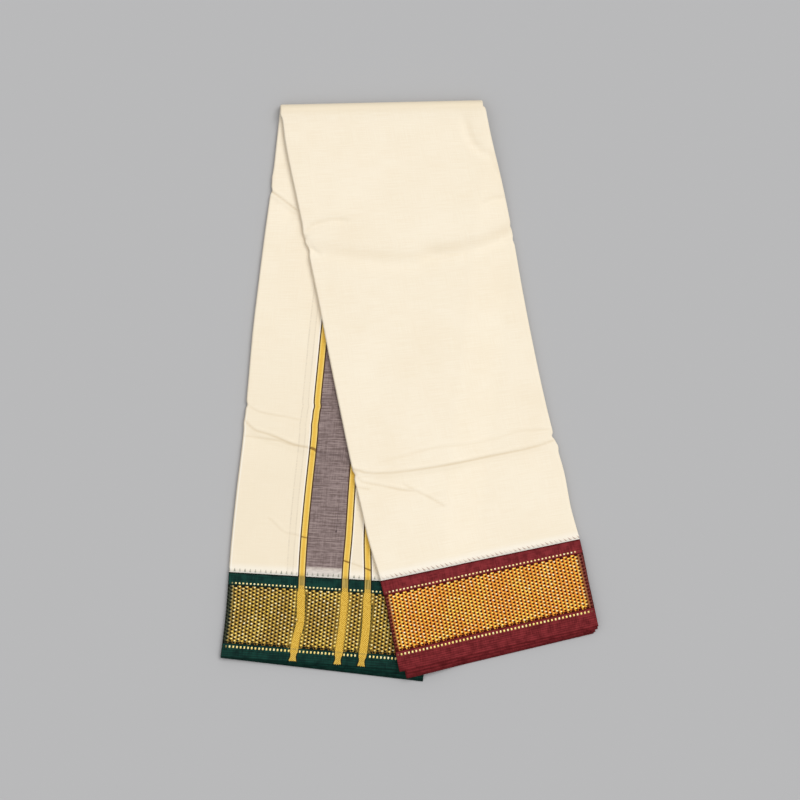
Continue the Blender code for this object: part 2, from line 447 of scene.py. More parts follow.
UPPER_CREASES = (
    SharpFold(((-96, -83), (-62, -88.5), (-45, -92.7), (-12, -91.5), (44, -83.3),
               (87, -74.5), (133, -65), (160, -56.5), (186, -46)), 0.6, 0.45, 1.5),
    Trough(((-76, -93), (-45, -100), (-12, -99), (44, -91), (87, -82), (133, -72),
            (172, -60)), 1.1, 6, 17),
    SharpFold(((-72, -82), (-61.4, -89.7), (-53.8, -101.7), (-31.8, -106.5),
               (-11.9, -110.8), (1.2, -112.5), (14, -112)), 0.42, 0.35, 1.4),
    SharpFold(((-8, -104), (1.2, -109.1), (14.3, -115.8), (24.4, -120.7),
               (34.2, -126.5), (44, -133)), 0.32, 0.4, 1.4),
    SharpFold(((-74, -103), (-60, -107.7), (-51.5, -109.9), (-42, -111)),
              0.36, 0.3, 1.4),
    SharpFold(((-36, -81), (-23.5, -77.9), (27.7, -64.6), (65.6, -60.4),
               (95.3, -54.7), (120, -46.5), (150, -43.8), (178, -46)), 0.15, 0.2, 1.7),
    Trough(((-126, 155), (-102.7, 155.6), (-66.7, 148.8), (-10.5, 143.2),
            (34.5, 147.7), (62.7, 153.3), (90.8, 161.2)), 1.6, 12, 9),
    Trough(((4, 146), (34.5, 151.7), (62.7, 156.3), (90.8, 164.2), (114.4, 174.6),
            (134, 184), (150, 190)), 2.6, 13, 4.5),
    Trough(((58, 316), (61.5, 303), (64.9, 289.5), (68.3, 280.5), (75, 271.5),
            (84, 265.8), (90.8, 261.3), (94.2, 250.1), (98.7, 241.1), (101, 230)),
           1.5, 7.0, 4.4),
    Trough(((-126, 166), (-116.5, 174.4), (-108.9, 182.4), (-97.5, 187.2),
            (-82.5, 190), (-64, 189)), 1.7, 4.2, 2.8),
    Trough(((-122, 178), (-115.6, 168), (-111.7, 161), (-107, 156.4),
            (-98, 150)), 1.5, 2.8, 2.8),
    Trough(((80, 205), (92.5, 213.5), (104, 215), (120, 216)), 1.0, 4.5, 3.0),
)
LOWER_NICKS = (
    Nick(Side.LEFT, 224.5, 1.5, 3.4),
    Nick(Side.LEFT, 240.0, -0.6, 5.0),
    Nick(Side.LEFT, -16.0, 1.3, 3.2),
    Nick(Side.LEFT, -36.0, -0.8, 5.0),
)
UPPER_NICKS = (
    Nick(Side.LEFT, 310.0, -1.8, 5.0),
    Nick(Side.LEFT, 176.0, -1.3, 6.0),
    Nick(Side.LEFT, 166.0, -0.7, 2.6),
    Nick(Side.LEFT, 157.0, 1.7, 4.5),
    Nick(Side.LEFT, -95.0, 1.7, 3.4),
    Nick(Side.RIGHT, 320.5, 4.0, 2.5),
    Nick(Side.RIGHT, 184.5, 0.9, 3.0),
    Nick(Side.RIGHT, 169.0, 1.0, 3.4),
    Nick(Side.RIGHT, -51.5, 2.2, 3.0),
    Nick(Side.RIGHT, -63.0, -1.6, 4.5),
)

# The layer ends at the hems, from the face that shows down
HEM_STEPS = (
    HemStep(0.050, 0.00, 1.0, 0.4),
    HemStep(0.105, 0.42, 0.0, 0.0),
    HemStep(0.360, 0.00, 0.0, 0.4),
    HemStep(0.420, 0.38, 0.0, 0.0),
    HemStep(0.740, 0.00, 0.0, 0.2),
    HemStep(0.800, 0.20, 0.0, 0.0),
)

# The end stripes of the sheet that shows on the lower half
STRIPES = tuple(StripePlace(*row) for row in (
    (0.0, 80.2, 130.6, 157.3),
    (25.0, 81.6, 131.4, 158.2),
    (45.0, 84.0, 132.0, 158.2),
    (70.0, 82.6, 131.6, 156.9),
    (100.0, 81.4, 129.8, 155.0),
    (145.0, 80.2, 129.3, 150.2),
    (210.0, 79.5, 126.6, 147.0),
    (300.0, 78.8, 123.8, 146.4),
    (350.0, 79.1, 122.5, 146.0),
    (620.0, 79.0, 122.5, 146.0),
    (1271.0, 79.0, 122.5, 146.0),
))

RIGHT_GROUPS = (
    Group(1, 4.2, 0.0),
    Group(1, 2.9, 0.0),
    Group(2, 1.6, 0.4),
    Group(4, 0.7, 0.8),
    Group(8, 0.0, 2.2),
)


def column_curve(rows: Sequence[object], key: str, column: str, places: Array) -> Array:
    """Read one column of a table on a smooth curve through its rows.

    Args:
        rows: The table.
        key: Name of the column that says where each row stands.
        column: Name of the column to read.
        places: Where to read it.

    Returns:
        The column's values at those places.
    """
    stops = np.array([getattr(row, key) for row in rows])
    values = np.array([getattr(row, column) for row in rows])
    held = np.clip(places, stops[0], stops[-1])
    step = np.clip(np.searchsorted(stops, held, side="right") - 1, 0, len(stops) - 2)
    before = np.maximum(np.arange(len(stops)) - 1, 0)
    after = np.minimum(np.arange(len(stops)) + 1, len(stops) - 1)
    slopes = (values[after] - values[before]) / (stops[after] - stops[before])
    width = stops[step + 1] - stops[step]
    t = (held - stops[step]) / width
    return ((2 * t**3 - 3 * t**2 + 1) * values[step] + (t**3 - 2 * t**2 + t) * width * slopes[step]
            + (3 * t**2 - 2 * t**3) * values[step + 1] + (t**3 - t**2) * width * slopes[step + 1])


def fold_order(times: int) -> list[int]:
    """Fold a row of segments in half again and again.

    Args:
        times: How many times it is folded.

    Returns:
        The segment at each layer, from the inner face to the outer one.
    """
    stack = [list(range(2 ** times))]
    for _ in range(times):
        half = len(stack[0]) // 2
        kept = [layer[:half] for layer in stack]
        turned = [layer[half:][::-1] for layer in reversed(stack)]
        stack = kept + turned
    return [layer[0] for layer in stack]


class Half(Enum):
    """Which half of the strip a piece belongs to."""

    LOWER = "lower"
    UPPER = "upper"


@dataclass(frozen=True)
class HalfPlan:
    """The plan and relief of one half.

    Args:
        sections: Its outline.
        creases: Its creases.
        nicks: The dents in its side edges.
        length: Its length from the fold to the hem.
        seam: Share of the length at which the border starts.
        fan: How far the lowest layer's hem passes the top one's, left and right.
        draw_in: How far the lowest layer's hem draws in, left and right.
        face_level: Level of the face that shows from above, 0 or 1.
    """

    sections: tuple[Section, ...]
    creases: tuple[Crease, ...]
    nicks: tuple[Nick, ...]
    length: float
    seam: float
    fan: tuple[float, float]
    draw_in: tuple[float, float]
    face_level: float

    def ends(self, share: Array, level: Array) -> tuple[Array, ...]:
        """The two ends of a section of one layer.

        Args:
            share: Place along the half.
            level: Level in the stack.

        Returns:
            X and Y of the left end, then X and Y of the right end.
        """
        names = ("left_x", "left_y", "right_x", "right_y")
        left_x, left_y, right_x, right_y = (
            column_curve(self.sections, "share", name, share) * MM for name in names)
        width = np.hypot(right_x - left_x, right_y - left_y)
        along_x = (right_x - left_x) / width
        along_y = (right_y - left_y) / width
        for nick in self.nicks:
            edge_y = left_y if nick.side is Side.LEFT else right_y
            push = nick.depth * MM * np.exp(-((edge_y / MM - nick.y) / nick.spread) ** 2)
            if nick.side is Side.LEFT:
                left_x = left_x + push
            else:
                right_x = right_x - push
        below = np.abs(level - self.face_level)
        opening = smooth((share - self.seam) / (1.0 - self.seam))
        passed, left, right = (
            opening * sum(getattr(step, part) * smooth((below - step.below) / HEM_STEP)
                          for step in HEM_STEPS)
            for part in ("passed", "left", "right"))
        return (left_x + along_x * self.draw_in[0] * left,
                left_y + along_y * self.draw_in[0] * left - self.fan[0] * passed,
                right_x - along_x * self.draw_in[1] * right,
                right_y - along_y * self.draw_in[1] * right - self.fan[1] * passed)

    def stack(self, share: Array) -> Array:
        """Thickness of the sixteen layers, which the borders' gold thread makes greater."""
        into_border = (share - self.seam) * self.length / STACK_CHANGE
        return GROUND_STACK + (BORDER_STACK - GROUND_STACK) * smooth(into_border)

    def share_of(self, x: float, y: float) -> float:
        """The share along the half of a place of the plan.

        Args:
            x: Its X.
            y: Its Y.

        Returns:
            The share.
        """
        shares = np.linspace(0.0, 1.0, 401)
        left_x, left_y, right_x, right_y = self.ends(shares, np.array(self.face_level))
        beyond = (right_x - left_x) * (y - left_y) - (right_y - left_y) * (x - left_x)
        return float(np.interp(0.0, beyond, shares))

    def dent(self, x: Array, y: Array) -> Array:
        """How far the creases press the upper face in, which is negative on a ridge."""
        return self.crease_marks(x, y)[0]

    def crease_marks(self, x: Array, y: Array) -> tuple[Array, Array]:
        """The relief of the creases, and the painted shade, with some rubbing, that they put in the
        colour.

        Args:
            x: X of the places.
            y: Y of the places.

        Returns:
            How far the face is pressed in, and how much painted shade, with some rubbing, the thread
            gets.
        """
        depth = np.zeros(x.shape)
        worn_and_shaded = np.zeros(x.shape)
        for crease in self.creases:
            curve = crease.curve()
            low_x, low_y = curve.min(axis=0) - CREASE_MARGIN
            high_x, high_y = curve.max(axis=0) + CREASE_MARGIN
            near = (x > low_x) & (x < high_x) & (y > low_y) & (y < high_y)
            aside, strength = crease.measure(x[near], y[near])
            depth[near] += strength * crease.relief(aside)
            worn_and_shaded[near] = np.maximum(worn_and_shaded[near], strength * crease.shade_and_wear(aside))
        return depth, worn_and_shaded


@dataclass(frozen=True)
class FoldedCloth:
    """The whole folded form, from which every sheet takes its points.

    Args:
        lower: Plan of the lower half.
        upper: Plan of the upper half.
        wave: Height of the faint unevenness of the faces.
    """

    lower: HalfPlan
    upper: HalfPlan
    wave: float = 0.22 * MM

    def plan(self, half: Half) -> HalfPlan:
        """The plan of a half."""
        return self.lower if half is Half.LOWER else self.upper

    def seam_run(self, half: Half) -> float:
        """The run at which a half's border starts."""
        if half is Half.LOWER:
            return LOWER_LENGTH * (1.0 - LOWER_SEAM)
        return CLOTH_WIDTH - UPPER_LENGTH * (1.0 - UPPER_SEAM)

    def unevenness(self, x: Array, y: Array) -> Array:
        """A faint waviness of the faces, as a height."""
        wave = sum(height * np.sin(x * per_x + y * per_y + start)
                   for height, per_x, per_y, start in WAVES)
        return self.wave * wave / WAVES_SUM

    def resting_height(self, x: Array, y: Array) -> Array:
        """Height of what the upper half lies on: the lower half, a slope, then the surface.

        Args:
            x: X of the places.
            y: Y of the places.

        Returns:
            The height at each place.
        """
        top = self.lower.sections[0]
        foot = self.lower.sections[-1]
        along_x = (foot.right_x - top.right_x) * MM
        along_y = (foot.right_y - top.right_y) * MM
        outside = (along_x * (y - top.right_y * MM) - along_y * (x - top.right_x * MM))
        outside = outside / math.hypot(along_x, along_y)
        down = smooth((outside - SLUMP_START) / SLUMP_RUN)
        share = (top.right_y * MM - y) / ((top.right_y - foot.right_y) * MM)
        return (self.lower.stack(share) + HALVES_GAP) * (1.0 - down)

    def place(self, ends: tuple[Array, ...], share: Array, shift: Array) -> tuple[Array, Array]:
        """A place of the plan between a section's ends.

        Args:
            ends: X and Y of the left end, then of the right end.
            share: Share across.
            shift: Metres added towards the right.

        Returns:
            X and Y of the place.
        """
        left_x, left_y, right_x, right_y = ends
        whole = share + shift / np.hypot(right_x - left_x, right_y - left_y)
        return left_x + (right_x - left_x) * whole, left_y + (right_y - left_y) * whole

    def lower_points(self, run: Array, spots: "PathSpots") -> Array:
        """Points of the lower half, whose outer face lies flat on the surface.

        Args:
            run: The runs of the rows.
            spots: The places of the columns.

        Returns:
            The points.
        """
        share = np.clip((LOWER_LENGTH - run) / LOWER_LENGTH, 0.0, 1.0)
        x, y = self.place(self.lower.ends(share, spots.level), spots.share, spots.shift)
        height = self.lower.stack(share) - self.lower.dent(x, y)
        height = height + self.unevenness(x, y)
        return np.stack([x, y, height * (1.0 - spots.level)], axis=-1)

    def fold_points(self, run: Array, spots: "PathSpots") -> Array:
        """Points of the bend at the top.

        Args:
            run: The runs of the rows.
            spots: The places of the columns.

        Returns:
            The points.
        """
        turn = np.clip((run - LOWER_LENGTH) / FOLD_LENGTH, 0.0, 1.0)
        first = self.lower.ends(np.zeros_like(turn), spots.level)
        last = self.upper.ends(np.zeros_like(turn), spots.level)
        ease = smooth(turn)
        ends = tuple(a + (b - a) * ease for a, b in zip(first, last))
        x, y = self.place(ends, spots.share, spots.shift)
        width = np.hypot(ends[2] - ends[0], ends[3] - ends[1])
        radius = 0.5 * HALVES_GAP + GROUND_STACK * spots.level
        angle = math.pi * (turn - 0.5)
        reach = radius * np.cos(angle)
        x = x - (ends[3] - ends[1]) / width * reach
        y = y + (ends[2] - ends[0]) / width * reach
        z = GROUND_STACK + 0.5 * HALVES_GAP + radius * np.sin(angle)
        uneven = self.unevenness(x, y)
        z = z + uneven * np.where(turn < 0.5, (1.0 - spots.level) * (1.0 - 2.0 * turn),
                                  spots.level * (2.0 * turn - 1.0))
        z = z + FOLD_BULGE * spots.level * np.maximum(2.0 * turn - 1.0, 0.0)
        return np.stack([x, y, z], axis=-1)

    def upper_points(self, run: Array, spots: "PathSpots") -> Array:
        """Points of the upper half, lying on the lower half and on the surface beside it.

        Args:
            run: The runs of the rows.
            spots: The places of the columns.

        Returns:
            The points.
        """
        share = np.clip((run - LOWER_LENGTH - FOLD_LENGTH) / UPPER_LENGTH, 0.0, 1.0)
        x, y = self.place(self.upper.ends(share, spots.level), spots.share, spots.shift)
        height = self.upper.stack(share) - self.upper.dent(x, y)
        from_fold = share * UPPER_LENGTH / FOLD_BULGE_REACH
        height = height + self.unevenness(x, y) + FOLD_BULGE * np.exp(-from_fold ** 2)
        return np.stack([x, y, self.resting_height(x, y) + height * spots.level], axis=-1)

    def crease_shade_and_wear(self, runs: Array, points: Array) -> Array:
        """How much painted shade, with some rubbing, a sheet gets at its creases.

        Args:
            runs: The runs of its rows.
            points: Its points.

        Returns:
            A value from 0 to 1 for each point.
        """
        x, y = points[..., 0], points[..., 1]
        lower = self.lower.crease_marks(x, y)[1]
        upper = self.upper.crease_marks(x, y)[1]
        return np.where(runs[:, None] < LOWER_LENGTH, lower, upper)

    def points(self, runs: Array, spots: "PathSpots") -> Array:
        """Points of a sheet.

        Args:
            runs: The runs of its rows.
            spots: The places of its columns.

        Returns:
            An array of rows by columns by three.
        """
        run = runs[:, None]
        fold_end = LOWER_LENGTH + FOLD_LENGTH
        chosen = np.where((run < LOWER_LENGTH)[..., None], self.lower_points(run, spots),
                          self.upper_points(run, spots))
        bent = ((run >= LOWER_LENGTH) & (run <= fold_end))[..., None]
        return np.where(bent, self.fold_points(run, spots), chosen)


@dataclass
class PathSpots:
    """Places along a path through the layers, one for each column of a sheet.

    Args:
        share: Share across the section.
        shift: Metres added towards the right.
        level: Level in the stack.
        along: Distance along the cloth, which is 0 at its left fold.
    """

    share: Array
    shift: Array
    level: Array
    along: Array


class LayerPath:
    """The way of a sheet through the layers of a section, built up run by run."""

    def __init__(self) -> None:
        """Start with no places."""
        self.places: list[tuple[float, float, float]] = []
        self.left_fold = 0
        self.right_fold = 0

    @staticmethod
    def level(layer: int) -> float:
        """Level of the middle of a layer."""
        return (layer + 0.5) / LAYERS

    @staticmethod
    def group_of(layer: int) -> tuple[float, float, float, float]:
        """The right side group that a layer is in.

        Args:
            layer: Number of the layer, from the inner face outwards.

        Returns:
            The group's middle level, its half height as a level, its edge's shift and its bulge.
        """
        first = 0
        for group in RIGHT_GROUPS:
            if layer < first + group.layers:
                middle = (first + 0.5 * group.layers) / LAYERS
                return (middle, 0.5 * group.layers / LAYERS, -group.short * MM,
                        group.bulge * MM)
            first += group.layers
        raise ValueError(f"no layer {layer}")

    def right_end(self, layer: int) -> float:
        """Shift at which the flat run of a layer ends at the right."""
        _, _, edge, bulge = self.group_of(layer)
        return edge - bulge

    def flat(self, layer: int, leftwards: bool, steps: int) -> None:
        """Go along the whole width of a layer.

        Args:
            layer: Number of the layer.
            leftwards: True to go from right to left.
            steps: Number of steps.
        """
        right = self.right_end(layer)
        for step in range(steps + 1):
            share = 1.0 - step / steps if leftwards else step / steps
            shift = SIDE_ROUND + (right - SIDE_ROUND) * share
            self.places.append((share, shift, self.level(layer)))

    def bend(self, layer: int, at_left: bool, steps: int) -> None:
        """Turn round one side, from a layer to its partner.

        Args:
            layer: Number of the layer that the bend starts from.
            at_left: True for the left side.
            steps: Number of steps.
        """
        if at_left:
            middle, half, centre, full = 0.5, 0.5, SIDE_ROUND, SIDE_ROUND
        else:
            middle, half, edge, full = self.group_of(layer)
            centre = edge - full
        rise = self.level(layer) - middle
        reach = full * abs(rise) / half
        for step in range(1, steps):
            angle = math.pi * step / steps
            side = -1.0 if at_left else 1.0
            self.places.append((0.0 if at_left else 1.0, centre + side * reach * math.sin(angle),
                                middle + rise * math.cos(angle)))
        if at_left:
            self.left_fold = self.left_fold or len(self.places) - steps // 2
        else:
            self.right_fold = self.right_fold or len(self.places) - steps // 2

    def tail(self, layer: int, length: float, steps: int, leftwards: bool) -> None:
        """Go a short way along a layer, at its right end.

        Args:
            layer: Number of the layer.
            length: How far.
            steps: Number of steps.
            leftwards: True to go away from the right side, False to come up to it.
        """
        right = self.right_end(layer)
        for step in range(steps + 1):
            part = step / steps if leftwards else 1.0 - step / steps
            self.places.append((1.0, right - length * part, self.level(layer)))

    def spots(self) -> PathSpots:
        """The path's places with their distances along the cloth.

        Returns:
            The places, as rows that broadcast over a sheet.
        """
        share, shift, level = (np.array(part) for part in zip(*self.places))
        across = share * STRIP_WIDTH + shift
        height = level * GROUND_STACK
        steps = np.hypot(np.diff(across), np.diff(height))
        along = np.concatenate([[0.0], np.cumsum(steps)])
        along -= along[self.left_fold]
        return PathSpots(share[None, :], shift[None, :], level[None, :], along[None, :])

    def fold_distance(self) -> float:
        """Distance along the cloth from its left fold to its right fold."""
        return float(self.spots().along[0, self.right_fold])


@dataclass(frozen=True)
class LeafGrain:
    """How finely the outermost sheet is divided across.

    Args:
        first: Steps across the sheet on the inner face.
        second: Steps across the sheet on the outer face.
        left: Steps round the left side.
        right: Steps round the right side.
    """

    first: int
    second: int
    left: int = 14
    right: int = 10


def leaf_path(grain: LeafGrain) -> LayerPath:
    """The path of the outermost sheet, from its free end round the left side and the right.

    Args:
        grain: How finely it is divided.

    Returns:
        The path.
    """
    path = LayerPath()
    path.flat(0, True, grain.first)
    path.bend(0, True, grain.left)
    path.flat(LAYERS - 1, False, grain.second)
    path.bend(LAYERS - 1, False, grain.right)
    path.tail(LAYERS // 2, EDGE_REACH, 3, True)
    return path


def inner_path(steps: int, bend_steps: int) -> LayerPath:
    """The path of all the layers inside the outermost sheet.

    Args:
        steps: Steps across each layer.
        bend_steps: Steps round each side.

    Returns:
        The path.
    """
    order = fold_order(FOLDS)
    path = LayerPath()
    for segment in range(2, LAYERS):
        layer = order.index(segment)
        leftwards = segment % 2 == 0
        path.flat(layer, leftwards, steps)
        if segment < LAYERS - 1:
            path.bend(layer, leftwards, bend_steps)
    return path


def edge_paths() -> list[LayerPath]:
    """The short stretches of the inner layers that show at the right side.

    Returns:
        One path for each folded edge or free edge.
    """
    paths = []
    for first, second in ((4, 7), (2, 3)):
        path = LayerPath()
        path.tail(first, EDGE_REACH, 2, False)
        path.bend(first, False, 8)
        path.tail(second, EDGE_REACH, 2, True)
        paths.append(path)
    free = LayerPath()
    free.tail(1, EDGE_REACH, 3, False)
    paths.append(free)
    return paths


@dataclass(frozen=True)
class RowGrain:
    """How finely a sheet is divided along its run.

    Args:
        coarse: Step where the sheet is plain.
        fine: Smallest step at its creases.
    """

    coarse: float
    fine: float

    def runs(self, start: float, end: float, cloth: FoldedCloth) -> Array:
        """The rows of a sheet.

        Args:
            start: Run of the first row.
            end: Run of the last row.
            cloth: The form that has the creases.

        Returns:
            The runs of the rows.
        """
        before, after, step = FOLD_ROWS
        zones = [(LOWER_LENGTH - before, LOWER_LENGTH + FOLD_LENGTH + after, step)]
        for plan in (cloth.lower, cloth.upper):
            for crease in plan.creases:
                shares = [plan.share_of(x, y) for x, y in crease.curve()]
                places = sorted(self.run_of(plan, share) for share in (min(shares), max(shares)))
                zones.append((places[0] - crease.reach(), places[1] + crease.reach(),
                              max(self.fine, crease.row_step())))
        rows = [start]
        while rows[-1] < end:
            steps = [step for low, high, step in zones if low <= rows[-1] <= high]
            rows.append(rows[-1] + min(steps, default=self.coarse))
        grid = np.array(rows)
        return start + (grid - start) * (end - start) / (grid[-1] - start)

    @staticmethod
    def run_of(plan: HalfPlan, share: float) -> float:
        """The run at a share of a half."""
        if plan.face_level == 0.0:
            return LOWER_LENGTH * (1.0 - share)
        return LOWER_LENGTH + FOLD_LENGTH + plan.length * share


def stripe_attributes(runs: Array, spots: PathSpots) -> dict[str, Array]:
    """How far each point of a sheet lies from the end stripes, in millimetres.

    Args:
        runs: Runs of the rows.
        spots: Places of the columns.

    Returns:
        The distance from the nearest stripe, how far inside the band between the first two
        stripes a point is, its distance from the first stripe and that from the left side.
    """
    run = runs[:, None] / MM
    round_side = math.hypot(SIDE_ROUND, 0.5 * GROUND_STACK) / math.sqrt(2.0)
    turn = 0.5 * math.pi * round_side - SIDE_ROUND
    from_fold = -(spots.along + turn) / MM
    first, second, third = (
        from_fold - column_curve(STRIPES, "run", name, run)
        for name in ("first", "second", "third"))
    nearest = np.minimum(np.minimum(np.abs(first), np.abs(second)), np.abs(third))
    return {"stripe": nearest, "band": np.minimum(first, -second), "from_first": first,
            "from_left": np.broadcast_to(from_fold, first.shape)}


def add_object(name: str, data: bpy.types.ID) -> Piece:
    """Add an object to the scene.

    Args:
        name: Its name.
        data: Its mesh, light or camera.

    Returns:
        The object.
    """
    made = bpy.data.objects.new(name, data)
    bpy.context.scene.collection.objects.link(made)
    return made


def plain_mesh(obj: Piece) -> Piece:
    """Turn an object with modifiers into one plain mesh, under the same name.

    Args:
        obj: The object.

    Returns:
        The new object.
    """
    graph = bpy.context.evaluated_depsgraph_get()
    mesh = bpy.data.meshes.new_from_object(obj.evaluated_get(graph), depsgraph=graph,
                                           preserve_all_data_layers=True)
    name = obj.name
    bpy.data.objects.remove(obj)
    mesh.name = name
    return add_object(name, mesh)


@dataclass
class Sheet:
    """A woven sheet: a grid of points with its own coordinates along the cloth.

    Args:
        name: Name of the piece.
        cloth: The form that it follows.
        runs: Runs of its rows.
        paths: One path for each separate stretch.
    """

    name: str
    cloth: FoldedCloth
    runs: Array
    paths: list[LayerPath]

    def surface(self) -> Piece:
        """Make the sheet's middle surface, without thickness.

        Returns:
            An object with the cloth's coordinates and stripe distances on its mesh.
        """
        verts: list[Array] = []
        faces: list[Array] = []
        coordinates: list[Array] = []
        values: dict[str, list[Array]] = {}
        first = 0
        for path in self.paths:
            spots = path.spots()
            points = self.cloth.points(self.runs, spots)
            rows, columns = points.shape[:2]
            numbers = first + np.arange(rows * columns).reshape(rows, columns)
            corners = (numbers[:-1, :-1], numbers[1:, :-1], numbers[1:, 1:], numbers[:-1, 1:])
            faces.append(np.stack(corners, axis=-1).reshape(-1, 4))
            verts.append(points.reshape(-1, 3))
            along = np.broadcast_to(spots.along, (rows, columns))
            run = np.broadcast_to(self.runs[:, None], (rows, columns))
            coordinates.append(np.stack([along, run], axis=-1).reshape(-1, 2))
            # The crease attribute holds painted shade, with some rubbing, at the creases.
            marks = {**stripe_attributes(self.runs, spots),
                     "crease": self.cloth.crease_shade_and_wear(self.runs, points)}
            for key, value in marks.items():
                values.setdefault(key, []).append(value.reshape(-1))
            first += rows * columns
        mesh = bpy.data.meshes.new(self.name)
        quads = np.concatenate(faces)
        mesh.from_pydata(np.concatenate(verts).tolist(), [], quads.tolist())
        layer = mesh.uv_layers.new(name=UV_NAME)
        spread = np.concatenate(coordinates)[quads.reshape(-1)]
        layer.data.foreach_set("uv", spread.astype(np.float32).reshape(-1))
        for key, parts in values.items():
            attribute = mesh.attributes.new(key, "FLOAT", "POINT")
            attribute.data.foreach_set("value", np.concatenate(parts).astype(np.float32))
        mesh.shade_smooth()
        return add_object(self.name, mesh)

    @staticmethod
    def thicken(obj: Piece, material: Finish) -> Piece:
        """Give a surface the cloth's thickness and its finish.

        Args:
            obj: The surface.
            material: Its finish.

        Returns:
            The finished object, a closed shell.
        """
        wall = obj.modifiers.new("thickness", "SOLIDIFY")
        wall.thickness = CLOTH_THICKNESS
        wall.offset = 0.0
        wall.use_rim = True
        made = plain_mesh(obj)
        made.data.materials.clear()
        made.data.materials.append(material)
        return made


class NodeLayout:
    """Short calls that lay out the nodes of a tree."""

    tree: bpy.types.NodeTree

    def node(self, kind: str, inputs: Union[dict[Union[str, int], object], None] = None,
             **settings: object) -> bpy.types.Node:
        """Add a node.

        Args:
            kind: The node's type.
            inputs: Values or sockets for its inputs, by name or number.
            **settings: Its properties.

        Returns:
            The node.
        """
        made = self.tree.nodes.new(kind)
        for key, value in settings.items():
            setattr(made, key, value)
        for key, value in (inputs or {}).items():
            self.put(made.inputs[key], value)
        return made

    def put(self, target: Socket, value: object) -> None:
        """Link a socket to an input, or set the input's own value.

        Args:
            target: The input.
            value: A socket, a shade or any other value.
        """
        if isinstance(value, bpy.types.NodeSocket):
            self.tree.links.new(value, target)
        else:
            target.default_value = value.albedo() if isinstance(value, Shade) else value

    def math(self, operation: str, *values: Value, clamp: bool = False) -> Socket:
        """Add a math node.

        Args:
            operation: Its operation.
            *values: Its inputs.
            clamp: True to hold the result between 0 and 1.

        Returns:
            Its output.
        """
        return self.node("ShaderNodeMath", dict(enumerate(values)), operation=operation,
                         use_clamp=clamp).outputs[0]

    def times(self, first: Value, *others: Value) -> Socket:
        """The product of values."""
        return reduce(lambda total, other: self.math("MULTIPLY", total, other), others, first)

    def plus(self, first: Value, *others: Value) -> Socket:
        """The sum of values."""
        return reduce(lambda total, other: self.math("ADD", total, other), others, first)

    def less(self, first: Value, second: Value) -> Socket:
        """The first value less the second."""
        return self.math("SUBTRACT", first, second)

    def weigh(self, *terms: tuple[Value, float]) -> Socket:
        """The sum of values, each times its weight."""
        return self.plus(*[self.times(value, weight) for value, weight in terms])

    def split(self, vector: Socket) -> tuple[Socket, ...]:
        """The three parts of a vector."""
        return tuple(self.node("ShaderNodeSeparateXYZ", {"Vector": vector}).outputs)

    def join(self, x: Value, y: Value, z: Value) -> Socket:
        """A vector of three parts."""
        return self.node("ShaderNodeCombineXYZ", {0: x, 1: y, 2: z}).outputs[0]


@dataclass(frozen=True)
class Threads:
    """A line of threads in a pattern.

    Args:
        centre: Where its middle lies.
        half: Half its width.
        soft: Width of its soft edge.
    """

    centre: float
    half: float
    soft: float


